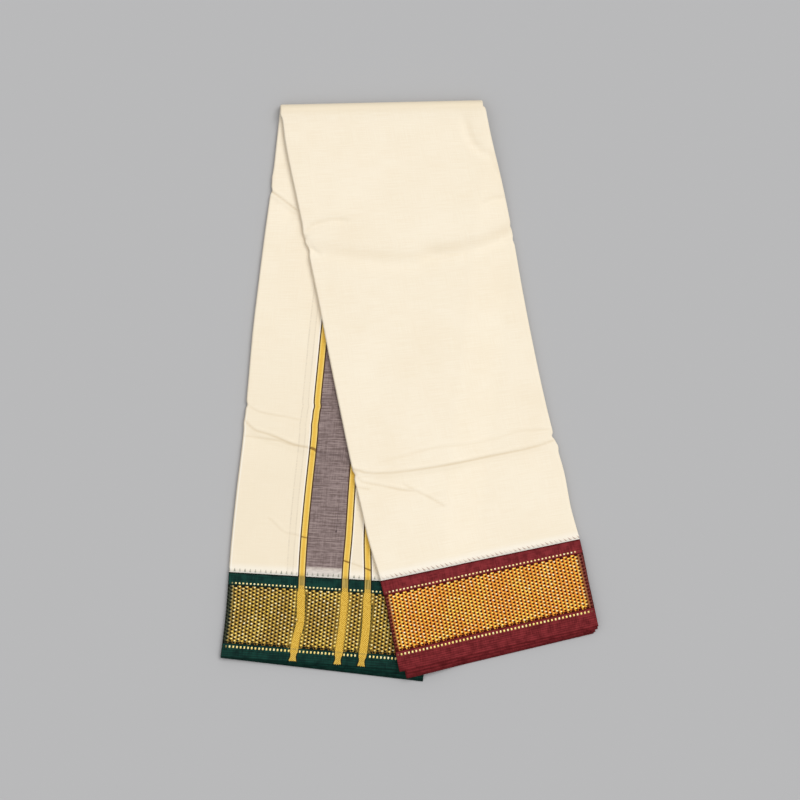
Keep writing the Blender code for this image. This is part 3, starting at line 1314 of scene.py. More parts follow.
class NodeSheet(NodeLayout):
    """Short calls that lay out the nodes of one material on a place of the cloth."""

    along: Socket
    run: Socket

    def __init__(self, name: str) -> None:
        """Start a material.

        Args:
            name: Its name.
        """
        self.material = bpy.data.materials.new(name)
        self.material.use_nodes = True
        self.tree = self.material.node_tree
        self.shader = self.tree.nodes["Principled BSDF"]

    def follow(self, place: Socket) -> None:
        """Take the distance along the path and the run, in metres, from a place of the cloth."""
        self.along, self.run, _ = self.split(place)

    def follow_cloth(self) -> None:
        """Take the place from the sheet's own coordinates."""
        self.follow(self.node("ShaderNodeUVMap", uv_map=UV_NAME).outputs[0])

    def mix(self, share: Value, first: object, second: object) -> Socket:
        """Mix two colours.

        Args:
            share: Share of the second one.
            first: The first colour.
            second: The second colour.

        Returns:
            The mixed colour.
        """
        made = self.node("ShaderNodeMix",
                         {MIX_SHARE: share, MIX_FIRST: first, MIX_SECOND: second},
                         data_type="RGBA")
        return made.outputs[MIX_RESULT]

    def ramp(self, value: Value, low: float, high: float, start: float = 0.0,
             end: float = 1.0) -> Socket:
        """Ease from one value to another while an input goes from low to high.

        Args:
            value: The input.
            low: Where it starts.
            high: Where it ends.
            start: Result at the start.
            end: Result at the end.

        Returns:
            The result.
        """
        return self.node("ShaderNodeMapRange", dict(enumerate((value, low, high, start, end))),
                         interpolation_type="SMOOTHSTEP").outputs[0]

    def line(self, distance: Value, threads: Threads) -> Socket:
        """A line of a pattern: 1 on its threads, and 0 outside.

        Args:
            distance: Where the point is.
            threads: The line.

        Returns:
            The strength of the line.
        """
        away = self.math("ABSOLUTE", self.less(distance, threads.centre))
        return self.ramp(away, threads.half - 0.5 * threads.soft,
                         threads.half + 0.5 * threads.soft, 1.0, 0.0)

    def attribute(self, name: str) -> Socket:
        """Read a number that the mesh holds."""
        return self.node("ShaderNodeAttribute", attribute_name=name).outputs["Fac"]

    def noise(self, per_along: float, per_run: float, detail: float = 2.0) -> Socket:
        """Noise on the cloth, with its own scale each way.

        Args:
            per_along: Grains a metre along the path.
            per_run: Grains a metre along the run.
            detail: How much fine detail it has.

        Returns:
            The noise, about 0.5 on average.
        """
        where = self.join(self.times(self.along, per_along), self.times(self.run, per_run), 0.0)
        return self.node("ShaderNodeTexNoise", {"Vector": where, "Scale": 1.0, "Detail": detail},
                         noise_dimensions="2D").outputs[0]

    def weave(self, pitch: float) -> Socket:
        """The relief of a plain weave.

        Args:
            pitch: Distance between threads.

        Returns:
            A height from -1 to 1.
        """
        turns = math.pi / pitch
        return self.times(self.math("SINE", self.times(self.along, turns)),
                          self.math("SINE", self.times(self.run, turns)))

    def finish(self, colour: object, roughness: Value, height: Socket, relief: float) -> Finish:
        """Connect the shader.

        Args:
            colour: The surface's colour.
            roughness: Its roughness.
            height: The fine relief.
            relief: How high that relief is, in metres.

        Returns:
            The material.
        """
        bump = self.node("ShaderNodeBump",
                         {"Strength": 1.0, "Distance": relief, "Height": height})
        self.put(self.shader.inputs["Normal"], bump.outputs[0])
        self.put(self.shader.inputs["Base Color"], colour)
        self.put(self.shader.inputs["Roughness"], roughness)
        return self.material


@dataclass(frozen=True)
class EndStripes:
    """The yellow end stripes with their dark edge lines, in millimetres from a stripe's middle.

    Args:
        middle: The yellow in the middle of a stripe.
        edge: The paler yellow at its edges.
        thread: Its darker threads.
        worn_and_shaded: The yellow with painted shade, and some rubbing, at the creases.
        dark: The dark threads beside it.
        yellow_threads: Where the yellow lies.
        dark_threads: Where the dark threads lie.
        rim_threads: Where the white rim lies.
    """

    middle: Shade = Shade(238, 192, 78)
    edge: Shade = Shade(255, 224, 126)
    thread: Shade = Shade(205, 160, 60)
    worn_and_shaded: Shade = Shade(124, 84, 26)
    dark: Shade = Shade(74, 46, 24)
    yellow_threads: Threads = Threads(0.0, 3.1, 0.4)
    dark_threads: Threads = Threads(3.7, 0.72, 0.3)
    rim_threads: Threads = Threads(5.2, 0.55, 0.5)


@dataclass(frozen=True)
class Binding:
    """The marks of the binding threads where a border joins the ground.

    Args:
        half: The half that the border is on.
        away: 1 where the run grows away from the border, and -1 where it shrinks.
        shade: Colour of the marks.
        pitch: Distance between the marks, in millimetres.
        slant: How far they lean, as a share of their height.
    """

    half: Half
    away: float
    shade: Shade
    pitch: float
    slant: float


@dataclass(frozen=True)
class GroundCotton:
    """The cream ground with its end stripes and the band between them.

    Args:
        light: The lighter cream threads.
        dark: The darker ones.
        white: The denser white weave beside the borders, and the colour of the painted highlight
            along the left side.
        band_light: Lighter threads of the band between the stripes.
        band_dark: Its darker threads.
        band_slub: Its thick pale threads.
        band_pale: Its pale weave close to the border.
        band_flaw: Its dark flaws, and the painted shade, with some rubbing, at its creases.
        crease: The cream with painted shade, and some rubbing, at the creases.
        shaded_cream: The cream with painted shade, towards the green border and along the top fold.
        faint: The faint lines beside the first stripe.
        stripes: The end stripes.
        bindings: The marks beside the two borders.
        faint_threads: Where the faint lines lie, in millimetres from the first stripe.
        between_threads: Where the fainter tint between them lies.
        left_highlight_threads: Where the painted highlight along the left side lies, in millimetres
            from it.
        streak: A dark streak in the band, in millimetres from the first stripe and in run.
        knot: A dark knot in the band, in the same way.
        thread_pitch: Distance between threads.
    """

    light: Shade = Shade(254, 243, 222)
    dark: Shade = Shade(248, 234, 209)
    white: Shade = Shade(255, 250, 240)
    band_light: Shade = Shade(152, 134, 131)
    band_dark: Shade = Shade(112, 95, 92)
    band_slub: Shade = Shade(176, 159, 151)
    band_pale: Shade = Shade(206, 192, 180)
    band_flaw: Shade = Shade(72, 56, 58)
    crease: Shade = Shade(214, 186, 138)
    shaded_cream: Shade = Shade(240, 225, 197)
    faint: Shade = Shade(188, 172, 150)
    stripes: EndStripes = EndStripes()
    bindings: tuple[Binding, ...] = (Binding(Half.LOWER, 1.0, Shade(126, 132, 114), 5.8, 0.0),
                                     Binding(Half.UPPER, -1.0, Shade(182, 150, 138), 5.2, 0.75))
    faint_threads: tuple[Threads, ...] = (Threads(-10.2, 0.7, 1.0), Threads(-16.6, 0.7, 1.0))
    between_threads: Threads = Threads(-13.4, 3.0, 2.0)
    left_highlight_threads: Threads = Threads(1.9, 0.6, 0.9)
    streak: tuple[Threads, ...] = (Threads(34.9, 0.4, 0.5), Threads(0.164, 0.017, 0.012))
    knot: tuple[Threads, ...] = (Threads(34.7, 0.8, 0.8), Threads(0.1485, 0.0011, 0.0010))
    thread_pitch: float = 0.42 * MM

    def material(self, cloth: FoldedCloth) -> Finish:
        """Make the material.

        Args:
            cloth: The form, for the places of its borders.

        Returns:
            The material.
        """
        sheet = NodeSheet("cream_cotton")
        sheet.follow_cloth()
        weft = sheet.noise(40.0, 1500.0)
        warp = sheet.noise(1500.0, 40.0)
        cloud = sheet.noise(16.0, 16.0)
        threads = sheet.weigh((weft, 0.6), (warp, 0.4))
        uneven = sheet.weigh((threads, 0.7), (cloud, 0.3))
        colour = sheet.mix(sheet.ramp(uneven, 0.3, 0.7), self.dark, self.light)
        # Painted shade: the cream darkens towards the green border.
        low = sheet.times(sheet.ramp(sheet.run, 0.14, 0.50, 0.6, 0.1),
                          sheet.ramp(cloud, 0.3, 0.7, 0.7, 1.0))
        colour = sheet.mix(low, colour, self.shaded_cream)
        # Painted shade along the top fold, in the same darker cream.
        bend = LOWER_LENGTH + FOLD_LENGTH
        rim = sheet.times(sheet.ramp(sheet.run, LOWER_LENGTH, LOWER_LENGTH + 0.5 * MM),
                          sheet.ramp(sheet.run, bend - 3.0 * MM, bend + 9.0 * MM, 0.75, 0.0))
        colour = sheet.mix(rim, colour, self.shaded_cream)
        # Painted shade, with some rubbing, at the creases.
        worn_and_shaded = sheet.attribute("crease")
        crease_shade_and_rub = sheet.times(worn_and_shaded, sheet.ramp(threads, 0.3, 0.7, 0.5, 0.36))
        colour = sheet.mix(crease_shade_and_rub, colour, self.crease)
        colour = self.end_band(sheet, colour, threads, cloth.seam_run(Half.LOWER))
        for binding in self.bindings:
            colour = self.beside_border(sheet, colour, binding, cloth.seam_run(binding.half))
        colour = self.end_stripes(sheet, colour, threads, worn_and_shaded)
        weave = sheet.plus(sheet.times(sheet.weave(self.thread_pitch), 0.3), threads)
        shader = sheet.shader
        shader.inputs["Sheen Weight"].default_value = 0.12
        shader.inputs["Sheen Roughness"].default_value = 0.5
        shader.inputs["Specular IOR Level"].default_value = 0.25
        return sheet.finish(colour, 0.88, weave, 0.12 * MM)

    def beside_border(self, sheet: NodeSheet, colour: Socket, binding: Binding,
                      seam: float) -> Socket:
        """Add the whiter weave and the small marks of the binding threads beside a border.

        Args:
            sheet: The material's nodes.
            colour: The colour so far.
            binding: The marks.
            seam: The run at which the border starts.

        Returns:
            The colour with them.
        """
        from_seam = sheet.times(sheet.less(sheet.times(sheet.run, 1.0 / MM), seam / MM),
                                binding.away)
        near = sheet.line(from_seam, Threads(0.0, 14.0, 1.0))
        white = sheet.times(sheet.ramp(from_seam, 5.0, 13.0, 0.45, 0.0), near)
        colour = sheet.mix(white, colour, self.white)
        rim = sheet.line(from_seam, Threads(0.9, 0.9, 0.8))
        colour = sheet.mix(sheet.times(rim, 0.8), colour, self.white)
        slanted = sheet.plus(sheet.times(sheet.along, 1.0 / MM),
                             sheet.times(from_seam, binding.slant))
        phase = sheet.math("FRACT", sheet.math("DIVIDE", slanted, binding.pitch))
        off = sheet.times(sheet.math("ABSOLUTE", sheet.less(phase, 0.5)), binding.pitch)
        taper = sheet.ramp(from_seam, 1.0, 4.6, 1.15, 0.35)
        mark = sheet.ramp(sheet.less(off, taper), -0.25, 0.25, 1.0, 0.0)
        tall = sheet.line(from_seam, Threads(3.0, 1.8, 0.9))
        patchy = sheet.ramp(sheet.noise(90.0, 90.0), 0.3, 0.6, 0.3, 0.8)
        return sheet.mix(sheet.times(mark, tall, patchy), colour, binding.shade)

    def end_band(self, sheet: NodeSheet, colour: Socket, threads: Socket, seam: float) -> Socket:
        """Add the grey band between the first two stripes, paler close to the border.

        Args:
            sheet: The material's nodes.
            colour: The colour so far.
            threads: The unevenness of the threads.
            seam: The run at which the border starts.

        Returns:
            The colour with it.
        """
        mottled = sheet.noise(180.0, 420.0, 3.0)
        slubs = sheet.noise(30.0, 900.0, 1.0)
        upright = sheet.noise(700.0, 30.0, 1.0)
        crossed = sheet.weigh((slubs, 0.8), (upright, 0.2))
        mixed = sheet.weigh((threads, 0.45), (mottled, 0.2), (crossed, 0.35))
        shade = sheet.mix(sheet.ramp(mixed, 0.42, 0.58), self.band_dark, self.band_light)
        shade = sheet.mix(sheet.ramp(slubs, 0.60, 0.76, 0.0, 0.28), shade, self.band_slub)
        from_first = sheet.attribute("from_first")
        streak, knot = (sheet.times(sheet.line(from_first, across), sheet.line(sheet.run, down))
                        for across, down in (self.streak, self.knot))
        # Painted shade, with some rubbing, at the creases darkens the band too.
        crease_shade_and_rub = sheet.times(sheet.attribute("crease"), 0.4)
        flaw = sheet.plus(sheet.times(streak, 0.5), knot)
        flaw = sheet.math("ADD", flaw, crease_shade_and_rub, clamp=True)
        shade = sheet.mix(flaw, shade, self.band_flaw)
        from_seam = sheet.times(sheet.less(sheet.run, seam), 1.0 / MM)
        pale = sheet.mix(sheet.ramp(mottled, 0.35, 0.65), self.band_slub, self.band_pale)
        shade = sheet.mix(sheet.ramp(from_seam, 10.4, 11.6, 0.85, 0.0), shade, pale)
        return sheet.mix(sheet.ramp(sheet.attribute("band"), 3.2, 4.0), colour, shade)

    def end_stripes(self, sheet: NodeSheet, colour: Socket, threads: Socket,
                    worn_and_shaded: Socket) -> Socket:
        """Add the yellow stripes with a dark thread line each side.

        Args:
            sheet: The material's nodes.
            colour: The colour so far.
            threads: The unevenness of the threads.
            worn_and_shaded: How much painted shade, and some rubbing, the creases put on the cloth.

        Returns:
            The colour with them.
        """
        stripes = self.stripes
        away = sheet.attribute("stripe")
        from_first = sheet.attribute("from_first")
        faint = sheet.plus(*[sheet.line(from_first, line) for line in self.faint_threads])
        between = sheet.times(sheet.line(from_first, self.between_threads), 0.3)
        faint = sheet.times(sheet.plus(faint, between),
                            sheet.ramp(threads, 0.35, 0.65, 0.04, 0.34))
        colour = sheet.mix(faint, colour, self.faint)
        # Painted highlight along the left folded side of the lower half.
        edge = sheet.times(sheet.line(sheet.attribute("from_left"), self.left_highlight_threads),
                           sheet.ramp(sheet.run, 0.25, 0.30, 0.6, 0.0))
        colour = sheet.mix(edge, colour, self.white)
        rim = sheet.times(sheet.line(away, stripes.rim_threads), 0.7)
        outside = sheet.ramp(sheet.attribute("band"), 2.0, 3.0, 1.0, 0.0)
        colour = sheet.mix(sheet.times(rim, outside), colour, self.white)
        yellow = sheet.mix(sheet.ramp(away, 1.0, 2.8), stripes.middle, stripes.edge)
        yellow = sheet.mix(sheet.ramp(threads, 0.3, 0.7, 0.0, 0.25), yellow, stripes.thread)
        # Painted shade, with some rubbing, where the creases cross a stripe.
        yellow = sheet.mix(sheet.ramp(worn_and_shaded, 0.05, 0.35, 0.0, 0.8), yellow, stripes.worn_and_shaded)
        colour = sheet.mix(sheet.line(away, stripes.yellow_threads), colour, yellow)
        return sheet.mix(sheet.line(away, stripes.dark_threads), colour, stripes.dark)


@dataclass(frozen=True)
class BorderPlan:
    """Where the parts of a border lie, in millimetres from its hem.

    Args:
        lower_dots: The row of dots near the hem.
        zari_start: Start of the gold net.
        zari_end: End of the gold net.
        upper_dots: The row of dots near the ground.
        depth: The border's whole depth.
    """

    lower_dots: float
    zari_start: float
    zari_end: float
    upper_dots: float
    depth: float


@dataclass(frozen=True)
class BorderCotton:
    """The dense cotton of a border.

    Args:
        name: Name of the material.
        light: Its lighter threads.
        dark: Its darker threads.
        under_gold: Its colour in the holes of the gold net.
        stripe_plain: An end stripe where it crosses the plain cloth.
        gold: Colour of the gold thread where it is only seen from the side, or None.
        stripe_edge: The paler edges of an end stripe there.
        stripe_gold: The light threads of an end stripe where it crosses the gold net.
        stripe_shadow: Its darker threads.
        rib_pitch: Distance between the ribs at the hem, in millimetres.
        net_pitch: Half the distance between the cells of the gold net.
    """

    name: str
    light: Shade
    dark: Shade
    under_gold: Shade
    stripe_plain: Shade
    gold: Union[Shade, None] = None
    stripe_edge: Shade = Shade(190, 162, 88)
    stripe_gold: Shade = Shade(243, 202, 92)
    stripe_shadow: Shade = Shade(184, 138, 32)
    rib_pitch: float = 2.6
    net_pitch: float = 2.1 * MM

    def material(self, plan: BorderPlan, hem_run: float) -> Finish:
        """Make the material.

        Args:
            plan: The border's plan.
            hem_run: The run of its hem.

        Returns:
            The material.
        """
        sheet = NodeSheet(self.name)
        sheet.follow_cloth()
        from_hem = sheet.math("ABSOLUTE", sheet.times(sheet.less(sheet.run, hem_run), 1.0 / MM))
        weft = sheet.noise(60.0, 1400.0)
        warp = sheet.noise(1400.0, 60.0)
        cloud = sheet.noise(120.0, 120.0, 3.0)
        threads = sheet.times(sheet.plus(weft, warp), 0.5)
        uneven = sheet.weigh((threads, 0.6), (cloud, 0.4))
        colour = sheet.mix(sheet.ramp(uneven, 0.38, 0.62), self.dark, self.light)
        middle = 0.5 * (plan.zari_start + plan.zari_end)
        half = 0.5 * (plan.zari_end - plan.zari_start)
        zone = sheet.line(from_hem, Threads(middle, half + 0.9, 0.8))
        colour = sheet.mix(zone, colour, self.under_gold)
        edge = sheet.ramp(from_hem, plan.depth - 2.2, plan.depth - 0.8, 0.0, 0.75)
        colour = sheet.mix(edge, colour, self.under_gold)
        cord = sheet.math("SINE", sheet.times(from_hem, 2.0 * math.pi / self.rib_pitch))
        near_hem = sheet.ramp(from_hem, plan.lower_dots - 4.0, plan.lower_dots - 2.0, 1.0, 0.0)
        rib = sheet.times(sheet.ramp(cord, 0.3, 0.9), near_hem)
        colour = sheet.mix(sheet.times(rib, 0.5), colour, self.under_gold)
        if self.gold:
            net = sheet.times(zone, sheet.ramp(sheet.weave(self.net_pitch), -0.5, 0.1))
            colour = sheet.mix(net, colour, self.gold)
        else:
            colour = self.crossing_stripes(sheet, colour, from_hem, zone, plan)
        height = sheet.plus(threads, sheet.times(rib, -0.4))
        sheet.shader.inputs["Specular IOR Level"].default_value = 0.08
        return sheet.finish(colour, 0.7, height, 0.10 * MM)

    def crossing_stripes(self, sheet: NodeSheet, colour: Socket, from_hem: Socket, zone: Socket,
                         plan: BorderPlan) -> Socket:
        """Add the end stripes where they cross the border, to their flared ends at the hem.

        Args:
            sheet: The material's nodes.
            colour: The colour so far.
            from_hem: The distance from the hem, in millimetres.
            zone: 1 within the gold net.
            plan: The border's plan.

        Returns:
            The colour with them.
        """
        away = sheet.attribute("stripe")
        slanted = sheet.weigh((sheet.along, 2900.0), (sheet.run, 2300.0))
        crossed = sheet.less(sheet.times(sheet.along, 2100.0), sheet.times(sheet.run, 3100.0))
        twill = sheet.plus(sheet.math("SINE", slanted), sheet.math("SINE", crossed))
        stipple = sheet.plus(twill, sheet.ramp(sheet.noise(800.0, 500.0), 0.3, 0.7, -0.8, 0.8))
        gold = sheet.mix(sheet.ramp(stipple, -1.2, 1.2), self.stripe_shadow, self.stripe_gold)
        lines = sheet.noise(900.0, 60.0)
        plain = sheet.mix(sheet.ramp(lines, 0.35, 0.65), self.stripe_plain, self.stripe_edge)
        plain = sheet.mix(sheet.ramp(away, 1.6, 3.2), plain, self.stripe_edge)
        at_dots = sheet.math("ADD", sheet.line(from_hem, Threads(plan.lower_dots, 1.8, 1.2)),
                             sheet.line(from_hem, Threads(plan.upper_dots, 1.8, 1.2)), clamp=True)
        below = sheet.ramp(from_hem, plan.lower_dots - 1.0, plan.zari_start, 0.7, 0.0)
        stripe = sheet.mix(sheet.math("MAXIMUM", zone, below), plain, gold)
        stripe = sheet.mix(sheet.times(at_dots, 0.7), stripe, gold)
        flare = sheet.ramp(from_hem, 0.4 * plan.lower_dots, 0.0, 0.0, 1.2)
        wide = sheet.times(sheet.ramp(from_hem, plan.zari_end + 2.0, plan.zari_end - 6.0, 0.0, 1.1),
                           sheet.ramp(from_hem, 0.0, plan.zari_start, 0.0, 1.0))
        neck = sheet.line(from_hem, Threads(0.62 * plan.lower_dots, 0.2 * plan.lower_dots, 3.0))
        half = sheet.less(sheet.plus(wide, flare, 3.3), sheet.times(neck, 0.7))
        outside = sheet.less(away, half)
        fringe = sheet.math("GREATER_THAN", from_hem, sheet.ramp(lines, 0.3, 0.7, 0.6, 2.0))
        inside = sheet.times(sheet.ramp(outside, -0.3, 0.3, 1.0, 0.0), fringe)
        beside = sheet.times(sheet.line(outside, Threads(1.6, 2.4, 1.0)), zone)
        checks = sheet.ramp(sheet.weave(self.net_pitch), -0.3, 0.3, 0.15, 0.85)
        colour = sheet.mix(sheet.times(beside, checks), colour, self.stripe_plain)
        colour = sheet.mix(inside, colour, stripe)
        edged = sheet.times(sheet.line(outside, Threads(0.6, 0.5, 0.4)), sheet.less(1.0, zone))
        return sheet.mix(edged, colour, self.under_gold)


@dataclass(frozen=True)
class GoldThread:
    """Gold thread: bright knots on a duller net, with painted shade near the folded sides.

    Args:
        name: Name of the material.
        bright: The bright knots.
        dull: The net between them.
        worn_and_shaded: The net with painted shade near the folded sides.
        pale: The dots.
        spark: The brightest glints.
        strand: Distance between the strands of the thread.
    """

    name: str
    bright: Shade
    dull: Shade
    worn_and_shaded: Shade
    pale: Shade
    spark: Shade = Shade(255, 250, 214)
    strand: float = 0.5 * MM

    def material(self, fold_distance: float) -> Finish:
        """Make the material.

        Args:
            fold_distance: Distance along the cloth from the left fold to the right one.

        Returns:
            The material.
        """
        sheet = NodeSheet(self.name)
        sheet.follow(sheet.node("ShaderNodeAttribute", attribute_name="flat").outputs["Vector"])
        fine = sheet.noise(420.0, 420.0, 3.0)
        patch = sheet.noise(42.0, 30.0)
        strands = sheet.math("SINE", sheet.times(sheet.along, 2.0 * math.pi / self.strand))
        glint = sheet.attribute("glint")
        tone = sheet.attribute("tone")
        shade = sheet.plus(sheet.ramp(fine, 0.3, 0.7, -0.12, 0.12),
                           sheet.ramp(patch, 0.3, 0.7, -0.34, 0.14))
        lit = sheet.plus(sheet.ramp(glint, 0.0, 1.0, -0.16, 0.16), shade)
        level = sheet.math("ADD", lit, tone, clamp=True)
        colour = sheet.mix(level, self.dull, self.bright)
        colour = sheet.mix(sheet.ramp(tone, 1.1, 1.9), colour, self.pale)
        spark = sheet.times(sheet.ramp(glint, 0.3, 0.9, 0.15, 1.0),
                            sheet.ramp(tone, 0.55, 1.0, 0.0, 0.85),
                            sheet.ramp(fine, 0.42, 0.6, 0.1, 1.0))
        colour = sheet.mix(spark, colour, self.spark)
        # Painted shade: the gold darkens towards the folded sides.
        from_left = sheet.math("ABSOLUTE", sheet.along)
        from_right = sheet.math("ABSOLUTE", sheet.less(sheet.along, fold_distance))
        at_fold = sheet.math("MINIMUM", from_left, from_right)
        worn_and_shaded = sheet.ramp(sheet.plus(at_fold, sheet.times(fine, 3.0 * MM)), 6.5 * MM, 13.0 * MM,
                          1.0, 0.0)
        colour = sheet.mix(worn_and_shaded, colour, self.worn_and_shaded)
        sheet.shader.inputs["Metallic"].default_value = 0.5
        return sheet.finish(colour, sheet.ramp(fine, 0.3, 0.7, 0.34, 0.5), strands, 0.03 * MM)


class NodeTree(NodeLayout):
    """A Geometry Nodes tree with named inputs."""

    def __init__(self, name: str) -> None:
        """Start a tree with one geometry output.

        Args:
            name: Its name.
        """
        self.tree = bpy.data.node_groups.new(name, "GeometryNodeTree")
        self.tree.interface.new_socket("Geometry", in_out="OUTPUT",
                                       socket_type="NodeSocketGeometry")
        self.ids: dict[str, str] = {}
        self.source = self.node("NodeGroupInput")
        self.result = self.node("NodeGroupOutput")

    def named_input(self, name: str, kind: str) -> None:
        """Add a named input of a socket type such as Float or Object."""
        item = self.tree.interface.new_socket(name, in_out="INPUT", socket_type="NodeSocket" + kind)
        self.ids[name] = item.identifier

    def given(self, name: str) -> Socket:
        """The socket that brings in a named input."""
        return self.source.outputs[name]


@dataclass(frozen=True)
class WovenRepeat:
    """A motif repeated on a sheet, column by column, and bent to the sheet's surface.

    Args:
        pitch_along: Distance between columns.
        pitch_run: Distance between rows.
        columns: Number of columns.
        rows: Number of rows.
        start_along: Place of the first column.
        start_run: Run of the first row.
        stagger: How far every second column moves on, as a share of the row distance.
        clear: Distance kept from the end stripes, in millimetres.
        seed: Seed of the differences between motifs.
    """

    pitch_along: float
    pitch_run: float
    columns: int
    rows: int
    start_along: float
    start_run: float
    stagger: float
    clear: float
    seed: int

    INPUTS = (("Sheet", "Object"), ("Motif", "Object"), ("Finish", "Material"),
              ("Pitch along", "Float"), ("Pitch run", "Float"), ("Columns", "Int"),
              ("Rows", "Int"), ("Start along", "Float"), ("Start run", "Float"),
              ("Stagger", "Float"), ("Clear", "Float"), ("Seed", "Int"))

    def tree(self) -> NodeTree:
        """Build the node tree.

        Returns:
            The tree with its named inputs.
        """
        made = NodeTree("woven_repeat")
        for name, kind in self.INPUTS:
            made.named_input(name, kind)
        points = self.lattice(made)
        sheet = made.node("GeometryNodeObjectInfo", {"Object": made.given("Sheet")})
        surface = sheet.outputs["Geometry"]
        place = made.node("GeometryNodeInputPosition").outputs[0]
        gap = self.on_sheet(made, surface, place, "FLOAT", self.named(made, "stripe", "FLOAT"))
        crowded = made.node("FunctionNodeCompare", {"A": gap, "B": made.given("Clear")},
                            data_type="FLOAT", operation="LESS_THAN").outputs[0]
        kept = made.node("GeometryNodeDeleteGeometry", {"Geometry": points, "Selection": crowded},
                         domain="POINT").outputs[0]
        random = made.node("FunctionNodeRandomValue", {"Seed": made.given("Seed")})
        marked = made.node("GeometryNodeStoreNamedAttribute",
                           {"Geometry": kept, "Name": "glint", "Value": random.outputs[1]},
                           data_type="FLOAT", domain="POINT").outputs[0]
        motif = made.node("GeometryNodeObjectInfo",
                          {"Object": made.given("Motif"), "As Instance": True})
        placed = made.node("GeometryNodeInstanceOnPoints",
                           {"Points": marked, "Instance": motif.outputs["Geometry"]}).outputs[0]
        flat = made.node("GeometryNodeRealizeInstances", {"Geometry": placed}).outputs[0]
        flat = made.node("GeometryNodeStoreNamedAttribute",
                         {"Geometry": flat, "Name": "flat", "Value": place},
                         data_type="FLOAT_VECTOR", domain="POINT").outputs[0]
        bent = self.bend(made, flat, surface, place)
        whole = made.node("GeometryNodeRealizeInstances", {"Geometry": bent}).outputs[0]
        done = made.node("GeometryNodeSetMaterial",
                         {"Geometry": whole, "Material": made.given("Finish")}).outputs[0]
        made.put(made.result.inputs[0], done)
        return made

    @staticmethod
    def named(made: NodeTree, name: str, kind: str) -> Socket:
        """Read an attribute of the sheet."""
        return made.node("GeometryNodeInputNamedAttribute", {"Name": name},
                         data_type=kind).outputs[0]

    def on_sheet(self, made: NodeTree, surface: Socket, place: Socket, kind: str,
                 value: Socket) -> Socket:
        """Read a value of the sheet at a flat place.

        Args:
            made: The tree.
            surface: The sheet.
            place: The flat place.
            kind: The value's type.
            value: The value.

        Returns:
            The value there.
        """
        own_place = self.named(made, UV_NAME, "FLOAT_VECTOR")
        return made.node("GeometryNodeSampleUVSurface",
                         {"Mesh": surface, "Value": value, "UV Map": own_place,
                          "Sample UV": place}, data_type=kind).outputs[0]

    def lattice(self, made: NodeTree) -> Socket:
        """Lay out one point for each motif, on the flat cloth.

        Args:
            made: The tree.

        Returns:
            The points.
        """
        pitch_along, pitch_run = made.given("Pitch along"), made.given("Pitch run")
        width = made.times(made.less(made.given("Columns"), 1.0), pitch_along)
        height = made.times(made.less(made.given("Rows"), 1.0), pitch_run)
        half_width, half_height = made.times(width, 0.5), made.times(height, 0.5)
        grid = made.node("GeometryNodeMeshGrid",
                         {"Size X": width, "Size Y": height, "Vertices X": made.given("Columns"),
                          "Vertices Y": made.given("Rows")}).outputs[0]
        x, y, _ = made.split(made.node("GeometryNodeInputPosition").outputs[0])
        column = made.math("ROUND", made.math("DIVIDE", made.plus(x, half_width), pitch_along))
        odd = made.math("MODULO", column, 2.0)
        moved = made.times(odd, made.given("Stagger"), pitch_run)
        offset = made.join(made.plus(made.given("Start along"), half_width),
                           made.plus(made.given("Start run"), half_height, moved), 0.0)
        points = made.node("GeometryNodeSetPosition", {"Geometry": grid, "Offset": offset}).outputs[0]
        last = made.plus(made.given("Start run"), height, made.times(pitch_run, 0.25))
        past = made.node("FunctionNodeCompare", {"A": y, "B": last}, data_type="FLOAT",
                         operation="GREATER_THAN").outputs[0]
        return made.node("GeometryNodeDeleteGeometry", {"Geometry": points, "Selection": past},
                         domain="POINT").outputs[0]

    def bend(self, made: NodeTree, flat: Socket, surface: Socket, place: Socket) -> Socket:
        """Move each flat point to its place on the sheet, raised by its height.

        Args:
            made: The tree.
            flat: The flat motifs.
            surface: The sheet.
            place: Their flat place.

        Returns:
            The motifs on the sheet.
        """
        position = made.node("GeometryNodeInputPosition").outputs[0]
        normal = made.node("GeometryNodeInputNormal").outputs[0]
        spot = self.on_sheet(made, surface, place, "FLOAT_VECTOR", position)
        up = self.on_sheet(made, surface, place, "FLOAT_VECTOR", normal)
        _, _, height = made.split(place)
        raised = made.node("ShaderNodeVectorMath", {0: up, "Scale": height}, operation="SCALE")
        there = made.node("ShaderNodeVectorMath", {0: spot, 1: raised.outputs[0]},
                          operation="ADD")
        return made.node("GeometryNodeSetPosition",
                         {"Geometry": flat, "Position": there.outputs[0]}).outputs[0]

    def build(self, name: str, sheet: Piece, motif: Piece, material: Finish) -> Piece:
        """Make the repeat as one plain mesh.

        Args:
            name: Name of the piece.
            sheet: The sheet that it lies on.
            motif: The motif.
            material: Its finish.

        Returns:
            The finished object.
        """
        made = self.tree()
        carrier = add_object(name, bpy.data.meshes.new(name))
        modifier = carrier.modifiers.new("repeat", "NODES")
        modifier.node_group = made.tree
        values = (sheet, motif, material, self.pitch_along, self.pitch_run, self.columns,
                  self.rows, self.start_along, self.start_run, self.stagger, self.clear, self.seed)
        for (label, _), value in zip(self.INPUTS, values):
            modifier[made.ids[label]] = value
        piece = plain_mesh(carrier)
        piece.data.shade_smooth()
        return piece


